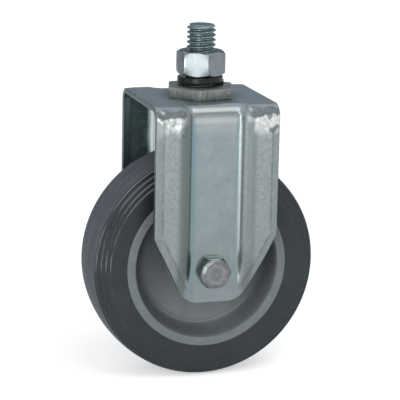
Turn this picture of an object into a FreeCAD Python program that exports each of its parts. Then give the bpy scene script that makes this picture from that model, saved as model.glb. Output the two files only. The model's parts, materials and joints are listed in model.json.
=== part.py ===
import FreeCAD, Part
import math
import os

import Sketcher

# Rigid caster with a threaded stem: a pressed steel fork, a 4 inch wheel on two ball
# bearings, and a half inch stem with its nut and spring washer.
# The origin is on the stem's axis at the top face of the hexagonal collar, which is the
# seat under the furniture. +Z is up along the stem, the axle lies along Y, and the
# bolt's head is at the front, -Y. All lengths are in millimetres and angles in degrees.

os.makedirs("parts", exist_ok=True)
doc = FreeCAD.newDocument("StemCaster")

# Driving dimensions
SIZES = {
    # wheel
    "wheel_radius": 50.8,
    "axle_drop": 77.9,
    "tread_half_width": 11.8,
    "tread_crown": 0.9,
    "shoulder_lead": 0.6,
    "shoulder_step": 1.9,
    "first_ledge": 0.8,
    "second_ledge": 1.4,
    "third_ledge": 1.0,
    "tyre_depth": 14.7,
    "rim_proud": 0.3,
    "rim_wall": 3.7,
    "dish_run": 3.8,
    "dish_foot_half_width": 6.3,
    "web_half_width": 5.0,
    "boss_wall": 3.0,
    "boss_gap": 4.4,
    "hub_fillet": 2.0,
    "bearing_seat_lip": 1.5,
    # ball bearings
    "bearing_bore_radius": 4.0,
    "bearing_outer_radius": 11.0,
    "bearing_width": 7.0,
    "inner_shoulder_drop": 1.4,
    "outer_shoulder_rise": 1.5,
    "ball_radius": 1.984,
    "ball_count": 7,
    "groove_clearance": 0.08,
    "cage_inner_drop": 0.9,
    "cage_outer_rise": 1.0,
    "cage_width": 5.2,
    "pocket_clearance": 0.12,
    "shield_thickness": 0.3,
    "shield_recess": 0.25,
    "shield_gap": 0.25,
    # fork
    "sheet_thickness": 2.3,
    "fork_half_width": 27.6,
    "fork_half_depth": 29.1,
    "plate_bend_radius": 5.5,
    "channel_depth": 4.4,
    "channel_half_width": 10.95,
    "channel_wall_run": 2.34,
    # the shoulder's bend is larger than the plate's by this
    "wing_shoulder_spare": 0.15,
    # how much of the wall that the shoulder leaves the foot's bend takes up
    "channel_foot_share": 0.95,
    "wing_edge_width": 3.1,
    "wing_edge_drop": 0.9,
    "wing_edge_radius": 6.0,
    "fade_above_axle": 8.9,
    "fade_below_axle": 8.1,
    "fade_end_rise": 0.03,
    "corner_above_axle": 16.1,
    "leg_corner_radius": 4.0,
    "leg_toe_half_width": 12.5,
    "toe_below_axle": 13.8,
    "leg_toe_radius": 10.0,
    # axle hardware
    "bolt_radius": 3.95,
    "bolt_end_proud": 1.0,
    "bolt_end_chamfer": 1.0,
    "bolt_hole_clearance": 0.2,
    "bolt_head_flats": 13.0,
    "bolt_head_height": 5.3,
    "head_dimple_radius": 2.9,
    "head_dimple_depth": 0.5,
    "spacer_radius": 5.9,
    "spacer_flange_radius": 9.5,
    "spacer_flange_width": 1.6,
    "spacer_bore_clearance": 0.15,
    "washer_radius": 8.0,
    "washer_thickness": 1.6,
    "lock_nut_flats": 13.0,
    "lock_nut_height": 8.0,
    "lock_nut_hex_height": 6.0,
    "lock_nut_crown_radius": 5.8,
    "lock_ring_depth": 2.0,
    "lock_ring_radius": 5.0,
    # stem, its nut and washer
    "stem_radius": 6.35,
    "thread_pitch": 2.117,
    "stem_height": 26.8,
    "stem_tip_chamfer": 1.0,
    "collar_flats": 27.6,
    "collar_height": 4.5,
    "collar_turn_angle": 13.4,
    "spigot_radius": 6.0,
    "rivet_radius": 8.5,
    "rivet_height": 2.4,
    "stem_nut_flats": 19.05,
    "stem_nut_height": 10.4,
    "stem_nut_turn_angle": 31.5,
    "stem_nut_seat": 4.95,
    "hex_chamfer_angle": 30.0,
    "lock_washer_wire_height": 2.9,
    "lock_washer_wire_width": 3.5,
    "lock_washer_clearance": 0.3,
    "lock_washer_coil_angle": 348.0,
    "lock_washer_start_angle": -20.0,
    # how far a working solid runs past the piece that it cuts
    "cut_overrun": 5.0,
}

# Places that follow from the sizes
LEG_FACE = "([fork_half_depth] - [channel_depth])"
LEG_INSIDE = f"({LEG_FACE} - [sheet_thickness])"
PLATE_UNDER = "(-[collar_height] - [sheet_thickness])"
TOE_DROP = "([axle_drop] + [toe_below_axle])"
CORNER_DROP = "([axle_drop] - [corner_above_axle])"
FADE_TOP = "([axle_drop] - [fade_above_axle])"
FADE_END = "([axle_drop] + [fade_below_axle])"
RIM_OUTER = "([wheel_radius] - [tyre_depth])"
RIM_INNER = f"({RIM_OUTER} - [rim_wall])"
DISH_FOOT = f"({RIM_INNER} - [dish_run])"
LEDGES = "([first_ledge] + [second_ledge] + [third_ledge])"
SIDEWALL = f"([tread_half_width] + {LEDGES} + [shoulder_lead])"
RIM_FACE = f"({SIDEWALL} + [rim_proud])"
BOSS_RADIUS = "([bearing_outer_radius] + [boss_wall])"
BOSS_FACE = f"({LEG_INSIDE} - [boss_gap])"
BEARING_SEAT = f"({BOSS_FACE} - [bearing_width])"
BALL_PITCH_RADIUS = "(([bearing_bore_radius] + [bearing_outer_radius]) / 2)"
INNER_SHOULDER = f"({BALL_PITCH_RADIUS} - [inner_shoulder_drop])"
OUTER_SHOULDER = f"({BALL_PITCH_RADIUS} + [outer_shoulder_rise])"
CAGE_INSIDE = f"({BALL_PITCH_RADIUS} - [cage_inner_drop])"
CAGE_OUTSIDE = f"({BALL_PITCH_RADIUS} + [cage_outer_rise])"
NUT_TOP = "([stem_nut_seat] + [stem_nut_height])"
# on a 60 degree thread the pitch line lies 3/8 of the sharp height inside the crest
PITCH_RADIUS = "([stem_radius] - 3 / 8 * cos(30) * [thread_pitch])"

# How many sections shape the fading end of the fork's channel, and how late it fades
FADE_LEVELS = 6
FADE_POWER = 1.4

sheet = doc.addObject("Spreadsheet::Sheet", "Sizes")
for row, (alias, value) in enumerate(SIZES.items(), start=1):
    sheet.set(f"A{row}", alias)
    sheet.set(f"B{row}", str(value))
    sheet.setAlias(f"B{row}", alias)
doc.recompute()


# Small helpers
def number(expression):
    """The value of an expression written in the sheet's names."""
    value = sheet.evalExpression(expression)
    return float(getattr(value, "Value", value))


def sized(text):
    """Puts the sheet's name before every size in an expression."""
    for alias in sorted(SIZES, key=len, reverse=True):
        text = text.replace(f"[{alias}]", f"Sizes.{alias}")
    return text


def new_body(label):
    body = doc.addObject("PartDesign::Body", label)
    body.Label = label
    return body


def new_sketch(body, label, role, height="0"):
    """A sketch on one of the body's own origin planes, or at a height above it."""
    plane = next(item for item in body.Origin.OriginFeatures if item.Role == role)
    sketch = body.newObject("Sketcher::SketchObject", label)
    sketch.AttachmentSupport = [(plane, "")]
    sketch.MapMode = "FlatFace"
    if height != "0":
        sketch.setExpression("AttachmentOffset.Base.z", sized(height))
    return sketch


def pin_point(sketch, geometry, end, axis, expression):
    """Ties one coordinate of a point to the sheet; a zero lies on the axis."""
    if expression == "0":
        across = -2 if axis == "X" else -1
        sketch.addConstraint(Sketcher.Constraint("PointOnObject", geometry, end, across))
        return
    value = number(sized(expression))
    index = sketch.addConstraint(
        Sketcher.Constraint("Distance" + axis, geometry, end, value)
    )
    sketch.setExpression(f"Constraints[{index}]", sized(expression))


def draw_outline(sketch, corners):
    """A closed outline. A corner is (x, y), or (x, y, radius, bulge) where the edge to
    the next corner is an arc that bulges to the left (+1) or right (-1) of its travel."""
    first = sketch.GeometryCount
    points = []
    for corner in corners:
        x_value = number(sized(corner[0]))
        y_value = number(sized(corner[1]))
        points.append(FreeCAD.Vector(x_value, y_value, 0))
    count = len(corners)
    starts = []
    for index, corner in enumerate(corners):
        start, end = points[index], points[(index + 1) % count]
        if len(corner) == 2:
            sketch.addGeometry(Part.LineSegment(start, end), False)
            starts.append((1, 2))
            continue
        radius, bulge = number(sized(corner[2])), corner[3]
        chord = end - start
        side = FreeCAD.Vector(-chord.y, chord.x, 0).normalize() * bulge
        rise = radius - math.sqrt(radius**2 - (chord.Length / 2) ** 2)
        arc = Part.Arc(start, (start + end) / 2 + side * rise, end).toShape().Curve
        middle = arc.Center
        first_angle = math.atan2(start.y - middle.y, start.x - middle.x)
        last_angle = math.atan2(end.y - middle.y, end.x - middle.x)
        circle = Part.Circle(middle, FreeCAD.Vector(0, 0, 1), radius)
        if bulge > 0:
            sketch.addGeometry(Part.ArcOfCircle(circle, last_angle, first_angle), False)
            starts.append((2, 1))
        else:
            sketch.addGeometry(Part.ArcOfCircle(circle, first_angle, last_angle), False)
            starts.append((1, 2))
    for index in range(count):
        following = (index + 1) % count
        sketch.addConstraint(
            Sketcher.Constraint(
                "Coincident",
                first + index,
                starts[index][1],
                first + following,
                starts[following][0],
            )
        )
    for index, corner in enumerate(corners):
        pin_point(sketch, first + index, starts[index][0], "X", corner[0])
        pin_point(sketch, first + index, starts[index][0], "Y", corner[1])
        if len(corner) == 4:
            radius_at = sketch.addConstraint(
                Sketcher.Constraint("Radius", first + index, number(sized(corner[2])))
            )
            sketch.setExpression(f"Constraints[{radius_at}]", sized(corner[2]))


def draw_circle(sketch, x_place, y_place, radius):
    middle = FreeCAD.Vector(number(sized(x_place)), number(sized(y_place)), 0)
    circle = Part.Circle(middle, FreeCAD.Vector(0, 0, 1), number(sized(radius)))
    index = sketch.addGeometry(circle, False)
    pin_point(sketch, index, 3, "X", x_place)
    pin_point(sketch, index, 3, "Y", y_place)
    at = sketch.addConstraint(
        Sketcher.Constraint("Radius", index, number(sized(radius)))
    )
    sketch.setExpression(f"Constraints[{at}]", sized(radius))


def turn(body, label, corners):
    """A turned solid: its half section (radius, height) goes once round the Z axis."""
    sketch = new_sketch(body, label + "_section", "XZ_Plane")
    draw_outline(sketch, corners)
    doc.recompute()
    feature = body.newObject("PartDesign::Revolution", label)
    feature.Profile = sketch
    feature.ReferenceAxis = (sketch, ["V_Axis"])
    feature.Angle = 360
    doc.recompute()
    return feature


def turn_away(body, label, outlines=(), circles=()):
    """A turned cut, checked to take material away."""
    before = body.Shape.Volume
    sketch = new_sketch(body, label + "_section", "XZ_Plane")
    for corners in outlines:
        draw_outline(sketch, corners)
    for circle in circles:
        draw_circle(sketch, *circle)
    doc.recompute()
    feature = body.newObject("PartDesign::Groove", label)
    feature.Profile = sketch
    feature.ReferenceAxis = (sketch, ["V_Axis"])
    feature.Angle = 360
    doc.recompute()
    if not body.Shape.Volume < before:
        raise RuntimeError(label + " cuts nothing")
    return feature


def hex_pad(body, label, flats, base, height, turned="0"):
    """A hexagonal prism from one height up, its first corner turned from the X axis."""
    sketch = new_sketch(body, label + "_hexagon", "XY_Plane", base)
    across = f"{flats} / (2 * cos(30))"
    corners = []
    for side in range(6):
        angle = f"({turned} + {60 * side})"
        corners.append((f"{across} * cos{angle}", f"{across} * sin{angle}"))
    draw_outline(sketch, corners)
    doc.recompute()
    feature = body.newObject("PartDesign::Pad", label)
    feature.Profile = sketch
    feature.setExpression("Length", sized(height))
    doc.recompute()
    return feature


def corner_chamfer(flats, face, toward):
    """The triangle that, turned round the axis, takes a hexagon's corners off."""
    inner = f"{flats} / 2"
    outer = f"{flats} / (2 * cos(30)) + [cut_overrun]"
    drop = f"({outer} - {inner}) * tan([hex_chamfer_angle])"
    return [
        (inner, face),
        (outer, face),
        (outer, f"{face} {toward} {drop}"),
    ]


def round_edges(body, label, radius, wanted):
    """A fillet on the edges of the body's last feature that a test picks."""
    base = body.Tip
    names = []
    for index, edge in enumerate(base.Shape.Edges, start=1):
        if wanted(edge):
            names.append(f"Edge{index}")
    if not names:
        raise RuntimeError(label + " finds no edge")
    feature = body.newObject("PartDesign::Fillet", label)
    feature.Base = (base, names)
    feature.Radius = number(sized(radius))
    feature.setExpression("Radius", sized(radius))
    doc.recompute()
    return feature


def ring_edge(radius, height):
    """Picks the circular edge of one radius at one height about the Z axis."""
    def wanted(edge):
        curve = edge.Curve
        if not isinstance(curve, Part.Circle):
            return False
        near = abs(curve.Radius - number(sized(radius))) < 0.01
        return near and abs(curve.Center.z - number(sized(height))) < 0.01

    return wanted


def lay_on_axle(piece, offset="0", toward="front"):
    """Turns a piece's own Z axis to the front, -Y, or to the rear, on the axle's line."""
    angle, sign = (90, "-") if toward == "front" else (-90, "")
    piece.Placement.Rotation = FreeCAD.Rotation(FreeCAD.Vector(1, 0, 0), angle)
    piece.setExpression("Placement.Base.y", sized(f"{sign}({offset})"))
    piece.setExpression("Placement.Base.z", sized("-[axle_drop]"))


# Tyre and hub
def make_tyre():
    body = new_body("tyre")
    edge_radius = "[wheel_radius] - [tread_crown]"
    half = []
    radius = f"{edge_radius} - [shoulder_lead]"
    width = "[tread_half_width]"
    for ledge in ("first_ledge", "second_ledge", "third_ledge"):
        half.append((radius, width))
        width = f"{width} + [{ledge}]"
        half.append((radius, width))
        radius = f"{radius} - [shoulder_step]"
    half.append((radius, width))
    half.append((f"{radius} - [shoulder_lead]", SIDEWALL))
    half.append((RIM_OUTER, SIDEWALL))
    crown = "([tread_half_width]^2 + [tread_crown]^2) / (2 * [tread_crown])"
    corners = [(edge_radius, "-([tread_half_width])", crown, -1)]
    corners.append((edge_radius, "[tread_half_width]"))
    corners += half
    for radius_there, height_there in reversed(half):
        corners.append((radius_there, f"-({height_there})"))
    turn(body, "tyre_moulding", corners)
    lay_on_axle(body)
    return body


def make_hub():
    body = new_body("hub")
    half = [
        ("[bearing_outer_radius] - [bearing_seat_lip]", BEARING_SEAT),
        ("[bearing_outer_radius]", BEARING_SEAT),
        ("[bearing_outer_radius]", BOSS_FACE),
        (BOSS_RADIUS, BOSS_FACE),
        (BOSS_RADIUS, "[web_half_width]"),
        (DISH_FOOT, "[dish_foot_half_width]"),
        (RIM_INNER, RIM_FACE),
        (RIM_OUTER, RIM_FACE),
    ]
    corners = list(half)
    for radius_there, height_there in reversed(half):
        corners.append((radius_there, f"-({height_there})"))
    turn(body, "hub_moulding", corners)
    for side in ("", "-"):
        name = "back" if side else "front"
        foot = ring_edge(DISH_FOOT, side + "[dish_foot_half_width]")
        root = ring_edge(BOSS_RADIUS, side + "[web_half_width]")
        round_edges(body, f"dish_foot_{name}", "[hub_fillet]", foot)
        round_edges(body, f"boss_root_{name}", "[hub_fillet]", root)
    lay_on_axle(body)
    return body


# Ball bearings
def make_bearing(side):
    """Six pieces of one bearing, its middle on its own origin before it is laid in
    with its own Z axis pointing out of the hub."""
    half = "[bearing_width] / 2"
    groove = "[ball_radius] + [groove_clearance]"
    shield_out = f"({half} - [shield_recess])"
    shield_in = f"({shield_out} - [shield_thickness])"
    pieces = []

    outer = new_body(f"{side}_outer_race")
    turn(
        outer,
        f"{side}_outer_ring",
        [
            (OUTER_SHOULDER, f"-({half})"),
            ("[bearing_outer_radius]", f"-({half})"),
            ("[bearing_outer_radius]", half),
            (OUTER_SHOULDER, half),
        ],
    )
    circle = (BALL_PITCH_RADIUS, "0", groove)
    turn_away(outer, f"{side}_outer_groove", circles=[circle])
    pieces.append(outer)

    inner = new_body(f"{side}_inner_race")
    turn(
        inner,
        f"{side}_inner_ring",
        [
            ("[bearing_bore_radius]", f"-({half})"),
            (INNER_SHOULDER, f"-({half})"),
            (INNER_SHOULDER, half),
            ("[bearing_bore_radius]", half),
        ],
    )
    turn_away(inner, f"{side}_inner_groove", circles=[circle])
    pieces.append(inner)

    cage = new_body(f"{side}_ball_cage")
    turn(
        cage,
        f"{side}_cage_ring",
        [
            (CAGE_INSIDE, "-[cage_width] / 2"),
            (CAGE_OUTSIDE, "-[cage_width] / 2"),
            (CAGE_OUTSIDE, "[cage_width] / 2"),
            (CAGE_INSIDE, "[cage_width] / 2"),
        ],
    )
    whole = cage.Shape.Volume
    window = new_sketch(cage, f"{side}_pocket_window", "YZ_Plane")
    draw_circle(window, "0", "0", "[ball_radius] + [pocket_clearance]")
    doc.recompute()
    pocket = cage.newObject("PartDesign::Pocket", f"{side}_ball_pocket")
    pocket.Profile = window
    pocket.Reversed = True
    pocket.setExpression("Length", sized(f"{CAGE_OUTSIDE} + [cut_overrun]"))
    doc.recompute()
    one_pocket = whole - cage.Shape.Volume
    count = int(number(sized("[ball_count]")))
    pattern = cage.newObject("PartDesign::PolarPattern", f"{side}_ball_pockets")
    pattern.Originals = [pocket]
    pattern.Axis = (window, ["V_Axis"])
    pattern.Angle = 360
    pattern.Occurrences = count
    pattern.setExpression("Occurrences", sized("[ball_count]"))
    cage.Tip = pattern
    doc.recompute()
    if not whole - cage.Shape.Volume > (count - 1) * one_pocket:
        raise RuntimeError("the cage's pockets are missing")
    pieces.append(cage)

    for position, turned in (("outboard", ""), ("inboard", "-")):
        shield = new_body(f"{side}_{position}_shield")
        turn(
            shield,
            f"{side}_{position}_disc",
            [
                (f"{INNER_SHOULDER} + [shield_gap]", f"{turned}{shield_in}"),
                (OUTER_SHOULDER, f"{turned}{shield_in}"),
                (OUTER_SHOULDER, f"{turned}{shield_out}"),
                (f"{INNER_SHOULDER} + [shield_gap]", f"{turned}{shield_out}"),
            ],
        )
        pieces.append(shield)

    balls = []
    for index in range(count):
        ball = doc.addObject("Part::Sphere", f"{side}_ball_{index + 1}")
        ball.setExpression("Radius", sized("[ball_radius]"))
        angle = f"({index} * 360 / [ball_count])"
        along = f"{BALL_PITCH_RADIUS} * cos{angle}"
        across = f"{BALL_PITCH_RADIUS} * sin{angle}"
        ball.setExpression("Placement.Base.x", sized(along))
        ball.setExpression("Placement.Base.y", sized(across))
        balls.append(ball)
    ball_set = doc.addObject("Part::MultiFuse", f"{side}_balls")
    ball_set.Label = f"{side}_balls"
    ball_set.Shapes = balls
    pieces.append(ball_set)

    for piece in pieces:
        lay_on_axle(piece, f"{BOSS_FACE} - {half}", side)
    return pieces


# Fork
def rounded_wire(corners, height):
    """A closed wire through corners (x, y, radius), each one rounded by its arc."""
    count = len(corners)
    joints = []
    for index in range(count):
        before = FreeCAD.Vector(*corners[index - 1][:2], height)
        here = FreeCAD.Vector(*corners[index][:2], height)
        after = FreeCAD.Vector(*corners[(index + 1) % count][:2], height)
        radius = corners[index][2]
        if radius == 0:
            joints.append((here, None, here))
            continue
        back, ahead = (before - here).normalize(), (after - here).normalize()
        half_turn = (math.pi - back.getAngle(ahead)) / 2
        reach = radius * math.tan(half_turn)
        middle = (back + ahead).normalize()
        depth = radius / math.cos(half_turn) - radius
        joints.append((here + back * reach, here + middle * depth, here + ahead * reach))
    edges = []
    for index in range(count):
        start, through, end = joints[index]
        if through is not None:
            edges.append(Part.Arc(start, through, end).toShape())
        following = joints[(index + 1) % count][0]
        edges.append(Part.LineSegment(end, following).toShape())
    return Part.Wire(edges)


def whole_bend(rise, run):
    """The radius of a bend that would take up all of a wall so high and wide."""
    return math.hypot(run, rise) / math.tan(math.atan2(rise, run) / 2)


def leg_line(rise, inset):
    """One leg's outline seen from above, from -X to +X on the front side, y > 0 here.
    rise is how far the wings stand out past the channel; inset moves the line inward."""
    half = number(sized("[fork_half_width]"))
    panel = number(sized(LEG_FACE))
    foot = number(sized("[channel_half_width]"))
    run = number(sized("[channel_wall_run]"))
    edge = number(sized("[wing_edge_width]"))
    drop = number(sized("[wing_edge_drop]"))
    shoulder = number(sized("[plate_bend_radius] + [wing_shoulder_spare]"))
    foot_share = number(sized("[channel_foot_share]"))
    edge_radius = number(sized("[wing_edge_radius]"))
    past = number(sized("[cut_overrun]"))
    wing = panel + rise
    full = whole_bend(number(sized("[channel_depth]")), run)
    growth = whole_bend(rise, run) / full
    right = [
        (foot, panel, foot_share * (full - shoulder) * growth, -1),
        (foot + run, wing, shoulder * growth, 1),
        (half - edge, wing, edge_radius, 1),
        (half + past, wing - drop * (edge + past) / edge, 0, 0),
    ]
    line = [(-x, y, radius, side) for x, y, radius, side in reversed(right)] + right
    moved = []
    for index, (x, y, radius, side) in enumerate(line):
        before = line[max(index - 1, 0)]
        after = line[min(index + 1, len(line) - 1)]
        slopes = []
        for one, other in ((before, (x, y)), ((x, y), after)):
            if (one[0], one[1]) != (other[0], other[1]):
                slopes.append(math.atan2(other[1] - one[1], other[0] - one[0]))
        mean = sum(slopes) / len(slopes)
        half_turn = (slopes[-1] - slopes[0]) / 2
        shift = inset / math.cos(half_turn)
        place = (x + shift * math.sin(mean), y - shift * math.cos(mean))
        kept = radius - side * inset if radius else 0
        moved.append((place[0], place[1], kept))
    return moved


def fork_section(rise, inset, height):
    """Both legs' lines joined into one closed wire; the ends lie past the sheet."""
    line = leg_line(rise, inset)
    front = [(x, -y, radius) for x, y, radius in line]
    back = list(reversed(line))
    return rounded_wire(front + back, height)


def fork_form(inset):
    """The solid inside one skin of the fork's sheet, before its sides are cut."""
    top = number(sized("-[collar_height]")) - inset
    full = number(sized("[channel_depth]"))
    faded = number(sized("[fade_end_rise]"))
    fade_top = number(sized(f"-{FADE_TOP}"))
    fade_end = number(sized(f"-{FADE_END}"))
    bottom = number(sized(f"-{TOE_DROP} - [cut_overrun]"))
    bend = number(sized("[plate_bend_radius]")) - inset
    upper_face = Part.Face(fork_section(full, inset, fade_top))
    upper = upper_face.extrude(FreeCAD.Vector(0, 0, top - fade_top))
    bent = []
    for edge in upper.Edges:
        flat = edge.BoundBox.ZLength < 1e-6 and abs(edge.BoundBox.ZMin - top) < 1e-6
        if flat and edge.BoundBox.XLength > 1e-3:
            bent.append(edge)
    upper = upper.makeFillet(bend, bent)
    levels = []
    for step in range(FADE_LEVELS + 1):
        share = step / FADE_LEVELS
        eased = share**FADE_POWER
        rise = full * (1 - eased) + faded * eased
        levels.append((fade_top + (fade_end - fade_top) * share, rise))
    wires = [fork_section(rise, inset, height) for height, rise in levels]
    fading = Part.makeLoft(wires, True, False)
    toe_face = Part.Face(wires[-1])
    toe = toe_face.extrude(FreeCAD.Vector(0, 0, bottom - fade_end))
    return upper.fuse([fading, toe])


def make_fork():
    shell = doc.addObject("Part::Feature", "fork_shell")
    thickness = number(sized("[sheet_thickness]"))
    shell.Shape = fork_form(0.0).cut(fork_form(thickness))

    side = new_body("fork_side_outline")
    sketch = new_sketch(side, "fork_side_sketch", "XZ_Plane")
    draw_outline(
        sketch,
        [
            ("-[leg_toe_half_width]", f"-{TOE_DROP}"),
            ("[leg_toe_half_width]", f"-{TOE_DROP}"),
            ("[fork_half_width]", f"-{CORNER_DROP}"),
            ("[fork_half_width]", "0"),
            ("-[fork_half_width]", "0"),
            ("-[fork_half_width]", f"-{CORNER_DROP}"),
        ],
    )
    doc.recompute()
    slab = side.newObject("PartDesign::Pad", "fork_side_slab")
    slab.Profile = sketch
    slab.SideType = "Symmetric"
    slab.setExpression("Length", sized("2 * ([fork_half_depth] + [cut_overrun])"))
    doc.recompute()

    def along_axle(drop, half_width):
        def wanted(edge):
            box = edge.BoundBox
            level = abs(box.ZMin + number(sized(drop))) < 0.01 and box.ZLength < 0.01
            return level and abs(abs(box.XMin) - number(sized(half_width))) < 0.01

        def lengthwise(edge):
            return edge.BoundBox.YLength > 1 and wanted(edge)

        return lengthwise

    toe = along_axle(TOE_DROP, "[leg_toe_half_width]")
    corner = along_axle(CORNER_DROP, "[fork_half_width]")
    round_edges(side, "fork_toes", "[leg_toe_radius]", toe)
    round_edges(side, "fork_corners", "[leg_corner_radius]", corner)

    trimmed = doc.addObject("Part::MultiCommon", "fork_trimmed")
    trimmed.Shapes = [shell, side]

    bolt_hole = doc.addObject("Part::Cylinder", "fork_bolt_hole")
    bolt_hole.setExpression("Radius", sized("[bolt_radius] + [bolt_hole_clearance]"))
    reach = "[fork_half_depth] + [cut_overrun]"
    bolt_hole.setExpression("Height", sized(f"2 * ({reach})"))
    lay_on_axle(bolt_hole, f"-({reach})")

    stem_hole = doc.addObject("Part::Cylinder", "fork_stem_hole")
    stem_hole.setExpression("Radius", sized("[spigot_radius]"))
    stem_hole.setExpression("Height", sized("[sheet_thickness] + 2 * [cut_overrun]"))
    stem_hole.setExpression("Placement.Base.z", sized(f"{PLATE_UNDER} - [cut_overrun]"))

    holes = doc.addObject("Part::MultiFuse", "fork_holes")
    holes.Shapes = [bolt_hole, stem_hole]
    fork = doc.addObject("Part::Cut", "fork")
    fork.Label = "fork"
    fork.Base = trimmed
    fork.Tool = holes
    doc.recompute()
    return fork


# Stem and its hardware
def make_stem():
    """One turned piece. The thread engaged by the nut is drawn at its pitch radius, on
    which the two threads' flanks meet; above and below it has its outer radius."""
    body = new_body("threaded_stem")
    turn(
        body,
        "stem_turning",
        [
            ("0", f"{PLATE_UNDER} - [rivet_height]"),
            ("[rivet_radius]", f"{PLATE_UNDER} - [rivet_height]"),
            ("[rivet_radius]", PLATE_UNDER),
            ("[spigot_radius]", PLATE_UNDER),
            ("[spigot_radius]", "-[collar_height] / 2"),
            ("[stem_radius]", "-[collar_height] / 2"),
            ("[stem_radius]", "[stem_nut_seat]"),
            (PITCH_RADIUS, "[stem_nut_seat]"),
            (PITCH_RADIUS, NUT_TOP),
            ("[stem_radius]", NUT_TOP),
            ("[stem_radius]", "[stem_height] - [stem_tip_chamfer]"),
            ("[stem_radius] - [stem_tip_chamfer]", "[stem_height]"),
            ("0", "[stem_height]"),
        ],
    )
    hex_pad(
        body,
        "stem_collar",
        "[collar_flats]",
        "-[collar_height]",
        "[collar_height]",
        "[collar_turn_angle]",
    )
    round_edges(
        body,
        "rivet_rounding",
        "[rivet_height] / 2",
        ring_edge("[rivet_radius]", f"{PLATE_UNDER} - [rivet_height]"),
    )
    return body


def make_stem_nut():
    body = new_body("mounting_nut")
    flats, seat = "[stem_nut_flats]", "[stem_nut_seat]"
    turned = "[stem_nut_turn_angle]"
    hex_pad(body, "nut_hexagon", flats, seat, "[stem_nut_height]", turned)
    below, above = f"{seat} - [cut_overrun]", f"{NUT_TOP} + [cut_overrun]"
    bore = [("0", below), (PITCH_RADIUS, below), (PITCH_RADIUS, above), ("0", above)]
    turn_away(body, "nut_bore", outlines=[bore])
    top = corner_chamfer(flats, NUT_TOP, "-")
    bottom = corner_chamfer(flats, seat, "+")
    turn_away(body, "nut_chamfers", outlines=[top, bottom])
    return body


def make_spring_washer():
    """A square wire coiled once, sprung from the collar up to the nut."""
    washer = doc.addObject("Part::Feature", "spring_washer")
    washer.Label = "spring_washer"
    height = number(sized("[lock_washer_wire_height]"))
    width = number(sized("[lock_washer_wire_width]"))
    bore = number(sized("[stem_radius] + [lock_washer_clearance]"))
    turned = number(sized("[lock_washer_coil_angle]"))
    climb = number(sized("[stem_nut_seat] - [lock_washer_wire_height]"))
    middle = bore + width / 2
    path = Part.makeHelix(climb * 360 / turned, climb, middle)
    wire = [
        FreeCAD.Vector(bore, 0, 0),
        FreeCAD.Vector(bore + width, 0, 0),
        FreeCAD.Vector(bore + width, 0, height),
        FreeCAD.Vector(bore, 0, height),
    ]
    section = Part.makePolygon(wire + wire[:1])
    pipe = Part.BRepOffsetAPI.MakePipeShell(Part.Wire(path))
    pipe.setBiNormalMode(FreeCAD.Vector(0, 0, 1))
    pipe.add(section, False, False)
    pipe.build()
    pipe.makeSolid()
    washer.Shape = pipe.shape()
    start = number(sized("[lock_washer_start_angle]"))
    washer.Placement = FreeCAD.Placement(
        FreeCAD.Vector(0, 0, 0),
        FreeCAD.Rotation(FreeCAD.Vector(0, 0, 1), start),
    )
    return washer


# Axle hardware
def make_bolt():
    """Its own Z axis runs out of the head, which sits on the front leg. It is as long
    as the legs, the washer and the lock nut need."""
    body = new_body("axle_bolt")
    clamped = f"2 * {LEG_FACE} + [washer_thickness] + [lock_nut_height]"
    length = f"({clamped} + [bolt_end_proud])"
    turn(
        body,
        "bolt_shank",
        [
            ("0", f"-{length}"),
            ("[bolt_radius] - [bolt_end_chamfer]", f"-{length}"),
            ("[bolt_radius]", f"-{length} + [bolt_end_chamfer]"),
            ("[bolt_radius]", "[bolt_head_height] / 2"),
            ("0", "[bolt_head_height] / 2"),
        ],
    )
    hex_pad(body, "bolt_head", "[bolt_head_flats]", "0", "[bolt_head_height]")
    face = corner_chamfer("[bolt_head_flats]", "[bolt_head_height]", "-")
    dimple = [
        ("0", "[bolt_head_height] - [head_dimple_depth]"),
        ("[head_dimple_radius]", "[bolt_head_height]"),
        ("0", "[bolt_head_height] + [head_dimple_depth]"),
    ]
    turn_away(body, "bolt_head_chamfer", outlines=[face])
    turn_away(body, "bolt_head_dimple", outlines=[dimple])
    lay_on_axle(body, LEG_FACE)
    return body


def make_axle_washer():
    body = new_body("axle_washer")
    bore = "[bolt_radius] + [bolt_hole_clearance]"
    turn(
        body,
        "axle_washer_disc",
        [
            (bore, "0"),
            ("[washer_radius]", "0"),
            ("[washer_radius]", "[washer_thickness]"),
            (bore, "[washer_thickness]"),
        ],
    )
    lay_on_axle(body, LEG_FACE, "rear")
    return body


def make_lock_nut():
    """A lock nut on the bolt's thread, with the seat of its ring bored in its crown."""
    body = new_body("axle_nut")
    hex_top = "[lock_nut_hex_height]"
    flats = "[lock_nut_flats]"
    hex_pad(body, "lock_nut_hexagon", flats, "0", hex_top)
    crown = [
        ("0", f"{hex_top} / 2"),
        ("[lock_nut_crown_radius]", f"{hex_top} / 2"),
        ("[lock_nut_crown_radius]", "[lock_nut_height]"),
        ("0", "[lock_nut_height]"),
    ]
    turn(body, "lock_nut_crown", crown)
    seat = "[lock_nut_height] - [lock_ring_depth]"
    above = "[lock_nut_height] + [cut_overrun]"
    bore = [
        ("0", "-[cut_overrun]"),
        ("[bolt_radius]", "-[cut_overrun]"),
        ("[bolt_radius]", seat),
        ("[lock_ring_radius]", seat),
        ("[lock_ring_radius]", above),
        ("0", above),
    ]
    turn_away(body, "lock_nut_bore", outlines=[bore])
    top = corner_chamfer(flats, hex_top, "-")
    turn_away(body, "lock_nut_chamfer", outlines=[top])

    ring = new_body("nut_locking_ring")
    turn(
        ring,
        "locking_ring_disc",
        [
            ("[bolt_radius]", seat),
            ("[lock_ring_radius]", seat),
            ("[lock_ring_radius]", "[lock_nut_height]"),
            ("[bolt_radius]", "[lock_nut_height]"),
        ],
    )
    pieces = [body, ring]
    for piece in pieces:
        lay_on_axle(piece, f"{LEG_FACE} + [washer_thickness]", "rear")
    return pieces


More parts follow.
